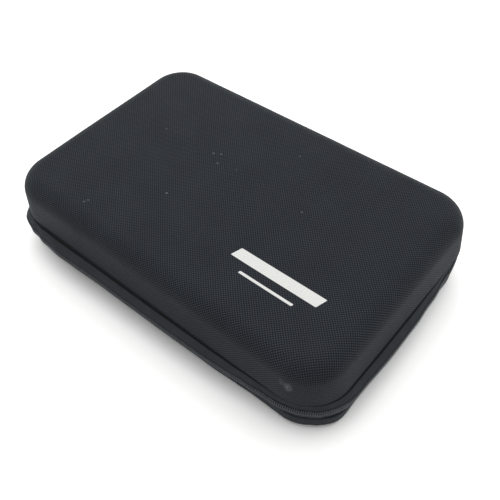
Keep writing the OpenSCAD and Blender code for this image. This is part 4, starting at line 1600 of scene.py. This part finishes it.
@dataclass
class LidPocket:
    """A flat foam pad under the lid, and a net pocket over it with an elastic mouth."""

    core: tuple[float, float] = (130.5, 72.0)
    pad_r: float = 17.0
    pad_z: tuple[float, float] = (65.3, 70.3)
    net_z: float = 51.7
    net_r: float = 15.9
    hem_r: float = 26.9
    hem_t: float = 1.5
    hem_z: float = 51.3
    mouth_y: float = -62.0
    hem_w: float = 11.0
    cell: float = 4.2
    strand: float = 0.5
    sag: float = 2.5

    def build(self, pad: bpy.types.Material, net: bpy.types.Material, elastic: bpy.types.Material,
              binding: bpy.types.Material, thread: bpy.types.Material) -> None:
        """Makes the pad, the net, the elastic and the binding round the net."""
        self.pad(pad)
        self.net(net)
        self.elastic(elastic)
        self.edge(binding, thread)

    def pad(self, finish: bpy.types.Material) -> None:
        """Makes the pad: a slab with edges rounded to 2 mm.

        Args:
            finish: The foam's finish.
        """
        way = way_round(self.core, 5.0, 12)
        low, high = self.pad_z
        t = high - low
        rim = np.concatenate([arc(self.pad_r - 2, 2, 2, -90, 0, 6), arc(self.pad_r - 0.8, t - 0.8, 0.8, 0, 90, 4)])
        rim[:, 1] += low
        grid = slab_grid(way.middle(self.core), way.out(), rim, 14)
        piece = finished(mesh_of("lid_pad", [grid]), finish, "lid", "insert_foam", "lid_foam_pad")

    def net(self, finish: bpy.types.Material) -> None:
        """Makes the net as strands along the sides of hexagons, each strand a thin four-sided bar.

        A honeycomb's corners are the lattice i a + j b and the same moved by a third of a + b, and three
        strands leave each corner. The net sags by sag (1 - X^2)(1 - Y^2), with X and Y from -1 to 1
        across the pocket.

        Args:
            finish: The strands' finish.
        """
        half_x, back_y = self.core[0] + self.net_r + 1, self.core[1] + self.net_r + 1
        c = self.cell
        i, j = np.meshgrid(np.arange(-90, 91), np.arange(-90, 91), indexing="ij")
        origin = np.stack([(i + j * 0.5) * c, j * c * np.sqrt(0.75)], -1).reshape(-1, 2)
        spokes = c / np.sqrt(3) * np.stack([np.sin(np.radians([0, 120, 240])), np.cos(np.radians([0, 120, 240]))], -1)
        start = np.repeat(origin, 3, 0)
        end = start + np.tile(spokes, (len(origin), 1))
        middle = (start + end) / 2
        inside = (np.abs(middle[:, 0]) < half_x) & (middle[:, 1] > self.mouth_y - 2) & (middle[:, 1] < back_y)
        corner = np.hypot(np.maximum(np.abs(middle[:, 0]) - self.core[0], 0),
                          np.maximum(middle[:, 1] - self.core[1], 0))
        inside &= corner < self.net_r + 1
        start, end = start[inside], end[inside]

        def lifted(p: np.ndarray) -> np.ndarray:
            """Puts points of the plan on the sagging net.

            Args:
                p: Points, (n, 2).

            Returns:
                Points, (n, 3).
            """
            mid_y = (self.mouth_y + back_y) / 2
            across, along = p[:, 0] / half_x, (p[:, 1] - mid_y) / (back_y - mid_y)
            drop = np.clip(1 - across ** 2, 0, 1) * np.clip(1 - along ** 2, 0, 1)
            return np.column_stack([p, self.net_z - self.sag * drop])

        a, b = lifted(start), lifted(end)
        ahead = unit(b - a)
        side = unit(np.cross(ahead, [0, 0, 1.0])) * self.strand
        lift = np.cross(side, ahead) * 0.6
        ring = [side, lift, -side, -lift]
        points = np.stack([p + r for p in (a - ahead * 0.2, b + ahead * 0.2) for r in ring], 1)
        quad = np.array([[0, 1, 5, 4], [1, 2, 6, 5], [2, 3, 7, 6], [3, 0, 4, 7]])
        faces = (quad[None] + (np.arange(len(a)) * 8)[:, None, None]).reshape(-1, 4)
        piece = object_of("pocket_net_strands", points.reshape(-1, 3), faces, np.zeros((len(faces), 4, 2)))
        finished(piece, finish, "lid", "net", "pocket_net")

    def elastic(self, finish: bpy.types.Material) -> None:
        """Makes the mouth's elastic: a ribbed band gathered into small even waves along its length.

        Args:
            finish: The band's finish.
        """
        half_x = self.core[0] + self.net_r
        x = np.linspace(-half_x, half_x, 260)
        y = np.linspace(self.mouth_y - self.hem_w, self.mouth_y, 9)
        wave = 0.22 * np.sin(x * 2 * np.pi / 5.2 + 1.5 * np.sin(x / 23))
        across = np.sin(np.linspace(0, np.pi, 9)) ** 0.5
        z = self.hem_z + 0.25 + 0 * across[None, :] + wave[:, None] * across[None, :]
        points = np.stack([np.broadcast_to(x[:, None], z.shape), np.broadcast_to(y[None], z.shape), z], -1)
        cloth = np.stack(np.meshgrid(x, y, indexing="ij"), -1)
        piece = thickened(mesh_of("mouth_elastic", [Grid(points, cloth, flip=True)]), 0.9)
        finished(piece, finish, "lid", "elastic", "pocket_elastic")

    def edge(self, finish: bpy.types.Material, thread: bpy.types.Material) -> None:
        """Makes the binding that holds the net's three other sides to the lining, with its stitches.

        Args:
            finish: The tape's finish.
            thread: The stitches' finish.
        """
        closed = way_round(self.core, 4.0, 16)
        turn = np.degrees(closed.angle)
        way = closed.kept(~((closed.v < -0.999) & (turn > 181) & (turn < 359)))
        t = self.hem_t / 2
        section = np.concatenate([arc(self.hem_r - t, t, t, -90, 90, 6), arc(self.net_r + t, t, t, 90, 270, 6)])
        points = way.carry(self.core, section[:, 0], self.hem_z + section[:, 1])
        ends = [np.repeat(points[k].mean(0)[None, None], points.shape[1], 1) for k in (0, -1)]
        points = np.concatenate([ends[0], points, ends[1]])
        fall = run_of(np.concatenate([section, section[:1]]))
        along = way.length(self.core, self.hem_r)
        along = np.concatenate([[0], along, along[-1:]])
        uv = np.stack(np.meshgrid(along, fall, indexing="ij"), -1)
        piece = mesh_of("pocket_binding_tape", [Grid(points, uv, columns_close=True)])
        finished(piece, finish, "lid", "binding", "pocket_binding")
        for number, r in enumerate((self.net_r + 2, self.hem_r - 2)):
            line = way.carry(self.core, np.array([r]), np.array([self.hem_z]))[:, 0]
            places, _ = even(line, 3.1)
            ahead = unit(np.gradient(places, axis=0))
            out = np.tile([0, 0, -1.0], (len(places), 1))
            piece = repeated(f"pocket_binding_stitches_{number + 1}", stitch_shape(1.2, 0.24), places, ahead, out)
            finished(piece, thread, "lid", "binding")


# ---------------------------------------------------------------- the sliders


@dataclass
class ZipSlider:
    """A cast slider with a bridge, and its pull: a stamped link and a ribbed soft grip.

    Sizes are in the slider's own frame: x outwards from the coils, y towards its nose, z up.
    """

    name: str
    place: int
    chain_x: float = 169.0
    middle_y: float = 8.5
    part_z: float = 27.5
    length: float = 16.0
    nose_h: float = 11.0
    tail_h: float = 8.6
    plate_in: float = 0.35
    plate_t: float = 1.4
    back: float = -3.95
    post: tuple[float, float] = (5.0, 0.6)
    bar_out: float = 4.35
    bar_r: float = 0.9
    span: float = 6.6
    eye: tuple[float, float] = (1.2, 2.2)
    link: tuple[float, float] = (4.2, 1.4)
    grip_top: float = -8.0
    grip: tuple[float, float, float] = (16.0, 8.6, 3.2)
    tongue: float = 5.0

    def placed(self, grid: Grid) -> Grid:
        """Puts a surface of the slider's frame on the case's left side, with its nose to the other slider.

        Args:
            grid: The surface.

        Returns:
            The placed surface.
        """
        x, y, z = np.moveaxis(grid.points, -1, 0)
        side = -1 if self.place > 0 else 1
        points = np.stack([-self.chain_x - x, self.place * self.middle_y + side * y, z + self.part_z], -1)
        return Grid(points, grid.uv, grid.rows_close, grid.columns_close, grid.flip != (side > 0))

    def piece(self, label: str, grids: Sequence[Grid]) -> bpy.types.Object:
        """Makes one piece of the slider from its surfaces."""
        return mesh_of(f"{label}_{self.name}", [self.placed(g) for g in grids])

    def shield(self, x_low: float, x_high: float, nose: float, tail: float, dome: float) -> Grid:
        """A plate whose outline runs from a wide nose to a narrower tail, with a rounded rim and a dome.

        The outline's half height at y is the straight taper from tail to nose, and both ends close
        through a superellipse of power 5: (|y| / half length)^5 + (|z| / half height)^5 = 1.

        Args:
            x_low: Where the plate starts.
            x_high: Where it ends.
            nose: Its height at the nose.
            tail: Its height at the tail.
            dome: How far its middle stands out.

        Returns:
            The surface.
        """
        a = np.radians(np.arange(0, 360, 5.0))
        c, s = np.cos(a), np.sin(a)
        y = np.sign(c) * np.abs(c) ** 0.4 * self.length / 2
        half = (nose + tail) / 4 + (nose - tail) / 4 * y / (self.length / 2)
        z = np.sign(s) * np.abs(s) ** 0.4 * half
        outline = np.stack([y, z], -1)
        ahead = unit(np.roll(outline, -1, 0) - np.roll(outline, 1, 0))
        out = np.stack([ahead[:, 1], -ahead[:, 0]], -1)
        r = min(0.45, (x_high - x_low) / 3)
        rim = np.concatenate([arc(-r, x_low + r, r, -90, 0, 3), arc(-r, x_high - r, r, 0, 90, 4)])
        flat = slab_grid(outline, out, rim, 6, dome)
        points = flat.points[..., [2, 0, 1]]
        return Grid(points, flat.uv, rows_close=True)

    def build(self, metal: bpy.types.Material, bright: bpy.types.Material, rubber: bpy.types.Material) -> None:
        """Makes the body, the bridge, the link and the grip."""
        body = f"{self.name}_slider"
        t, half = self.plate_t, self.length / 2
        plates = [
            self.shield(self.plate_in, self.plate_in + t - 0.2, self.nose_h, self.tail_h, 0.2),
            rounded_box((self.back - t / 2, 0, 0), (t / 2, half, 3.3), 0.2),
            rounded_box(((self.back + self.plate_in) / 2, half - self.post[0] / 2, 0),
                        ((self.plate_in - self.back) / 2 + 0.3, self.post[0] / 2, self.post[1] / 2), 0.2),
        ]
        finished(self.piece("slider_body", plates), metal, body, "slider_metal", f"slider_{self.name}")
        finished(self.piece("slider_bridge", [self.bridge()]), metal, body, "slider_metal",
                 f"slider_bridge_{self.name}")
        pull = f"{self.name}_pull"
        finished(self.piece("pull_link", self.link_parts()), bright, pull, "slider_metal", f"pull_link_{self.name}")
        finished(self.piece("pull_grip", [self.grip_part()]), rubber, pull, "pull_rubber", f"pull_grip_{self.name}")

    def bridge(self) -> Grid:
        """A round bar that rises from the plate, runs along the slider and comes down again."""
        reach, foot, r = self.span / 2 + self.bar_r, self.plate_in + self.plate_t - 0.3, 0.9
        rise = arc(self.bar_out - r, -reach + r, r, -90, 0, 5)
        line = np.concatenate([[[foot, -reach]], rise, rise[::-1] * [1, -1], [[foot, reach]]])
        line = spaced(line, 0.8)
        path = np.column_stack([line, np.zeros(len(line))])
        return tube(path, np.full(len(path), self.bar_r), np.array([0, 0, 1.0]), 12)

    def link_parts(self) -> list[Grid]:
        """The eye, a flat ring round the bar, and the tongue that hangs from it."""
        r_in, r_out = self.eye
        w, soft = self.link[0] / 2, 0.35
        section = np.concatenate([
            arc(w - soft, r_out - soft, soft, 0, 90, 3), arc(soft - w, r_out - soft, soft, 90, 180, 3),
            arc(soft - w, r_in + soft, soft, 180, 270, 3), arc(w - soft, r_in + soft, soft, 270, 360, 3)])
        a = np.radians(np.arange(0, 360, 12.0))[:, None]
        y = np.broadcast_to(section[:, 0], (len(a), len(section)))
        ring = np.stack([self.bar_out + section[:, 1] * np.cos(a), y, section[:, 1] * np.sin(a)], -1)
        foot = self.grip_top - self.tongue + 0.3
        top = -(r_in + r_out) / 2
        tongue = rounded_box((self.bar_out, 0, (foot + top) / 2), (self.link[1] / 2, w - 0.1, (top - foot) / 2), 0.2)
        return [Grid(ring, None, True, True, flip=True), tongue]

    def grip_part(self) -> Grid:
        """The grip, drawn as sections across it from bottom to top.

        At a height share q from -1 to 1 the section is an ellipse-like ring of power 4 whose half width
        is that of a rounded rectangle, w (1 - |q|^8)^(1/6), and whose half thickness is t (1 - |q|^6)^(1/2)
        plus a rib of 0.35 that rises and falls four times along the middle.
        """
        length, width, thick = self.grip
        q = np.sin(np.linspace(-np.pi / 2, np.pi / 2, 61))
        a = np.radians(np.arange(0, 360, 10.0))[None, :]
        w = (width / 2 * (1 - np.abs(q) ** 8) ** (1 / 6))[:, None]
        ribs = 0.35 * np.sin(np.clip((q + 0.72) / 1.15, 0, 1) * 4 * np.pi) ** 2
        t = ((thick / 2 - 0.05) * (1 - np.abs(q) ** 6) ** 0.5 + ribs)[:, None]
        t = t * (np.abs(q) < 1)[:, None]
        across = np.sign(np.cos(a)) * np.abs(np.cos(a)) ** 0.55 * w
        deep = np.sign(np.sin(a)) * np.abs(np.sin(a)) ** 0.55 * t
        z = np.broadcast_to((self.grip_top - length / 2 + q * length / 2)[:, None], across.shape)
        return Grid(np.stack([self.bar_out + deep, across, z], -1), None, columns_close=True)


# ---------------------------------------------------------------- the whole


def base_lining_section() -> np.ndarray:
    """The base lining's face from the binding down to the floor, as plan radius and depth."""
    rim, depth, r = 24.35, 11.75, 2.3
    return np.concatenate([[[rim, -8.2]], arc(rim - r, depth - r, r, 0, 90, 6)])


def lid_lining_section(lid: Shell) -> np.ndarray:
    """The lid lining's face from the binding up the rim, out under the wall and up to the ceiling."""
    return np.concatenate([[[24.35, -8.7], [24.35, 6.25]], lid.section(6.25)])


def main() -> None:
    """Builds the studio and every piece, in order."""
    logging.basicConfig(level=logging.INFO, format="%(name)s: %(message)s")
    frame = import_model()
    bpy.context.scene.view_settings.view_transform = "Standard"
    Studio().build()
    bars = (PrintedBar(46.0, -48.5, 9.6, 77.0, 77.0, 1), PrintedBar(60.0, -61.8, 2.2, 48.0, 48.0, 1, 0.6))
    rubs = (Rub((137.5, -105.0, 56.5), (4.2, 3.5, 5.5), 1.1), Rub((132.0, -105.5, 58.5), (3.0, 3.0, 4.0), 0.5),
            *(Rub((x, y, 76.5), (r, r, r), 1.2) for x, y, r in (
                (-84, -84, 1.5), (-82.5, -81, 1.3), (-38, -37, 1.2), (-40, 21, 1.5), (-29, 14, 1.2), (-11, 17, 1.0),
                (-34, 24, 1.2), (60, 12, 1.0), (-95, 20, 0.9), (20, 62, 0.9))))
    # Each half's pair of heights is where its cloth is painted darker near the crease, as painted shade.
    lid_nylon = BallisticNylon("Ballistic_nylon_lid", (37.6, 41.5), bars, rubs).material()
    base_nylon = BallisticNylon("Ballistic_nylon_base", (18.2, 17.0)).material()
    lid_tape = RibbedTape("Zip_tape_lid", "#383b3f", 0.9, 0.5, 0.06, shade_mm=4.1, hollow_shade=0.75).material()
    base_tape = RibbedTape("Zip_tape_base", "#3d4044", 0.9, 0.5, 0.06, hollow_shade=0.75).material()
    coil = Monofilament("Nylon_coil", "#5d6064", 0.4, 0.25).material()
    thread = Monofilament("Sewing_thread", "#3a3d41", 0.6, 0.25).material()
    cord = Monofilament("Filler_cord", "#101114", 0.8, 0.1).material()
    lining = Knit("Tricot_lining", "#464a50").material()
    lid = Shell(Half.LID, 37.5, 39.0, 34.5, 16.0, 2.2, 5.0)
    base = Shell(Half.BASE, 18.0, 18.0, 32.5, 9.0, 2.0, 3.0, uneven=0.1)
    lid.skin(lid_nylon)
    base.skin(base_nylon)
    webbing = RibbedTape("Hinge_webbing", "#2a2d31", 1.4, 0.6, 0.18, across=False, shade_mm=1.2).material()
    binding = RibbedTape("Grosgrain_binding", "#2a2c30", 0.9, 0.4, 0.12).material()
    ZipHalf(Half.LID, 32.3, 37.5).build(lid_tape, coil, thread, binding, cord)
    ZipHalf(Half.BASE, 30.5, 18.0).build(base_tape, coil, thread, binding, cord)
    foam = CellFoam("Cut_foam", "#4a4d52").material()
    pad = Knit("Knit_covered_pad", "#5a5e65", 0.8).material()
    net = Monofilament("Net_yarn", "#0f1012", 0.6, 0.3).material()
    elastic = RibbedTape("Knit_elastic", "#1d1f22", 0.8, 0.4, 0.15, across=False).material()
    metal = BlackedZinc("Blacked_zinc").material()
    link = BlackedZinc("Blacked_zinc_link", "#2a2b2e", "#9a9c9f", 0.26).material()
    rubber = SoftRubber("Soft_pvc").material()
    core = CellFoam("Moulded_eva", "#3a3d42", 0.6).material()
    FabricHinge().build(webbing, thread)
    base.lining(lining, base_lining_section(), (0.24, 0.355), 0.0736)
    lid.lining(lining, lid_lining_section(lid), (0.28, 0.40), 0.0985)
    Binding(Half.BASE, 27.2).build(binding, thread)
    Binding(Half.LID, 27.8).build(binding, thread)
    FoamFitting().build(foam, pad)
    LidPocket().build(pad, net, elastic, binding, thread)
    for name, place in (("front", -1), ("rear", 1)):
        ZipSlider(name, place).build(metal, link, rubber)
    for node in frame["nodes"].values():
        node.data.materials.clear()
        node.data.materials.append(core)


if __name__ == "__main__":
    main()
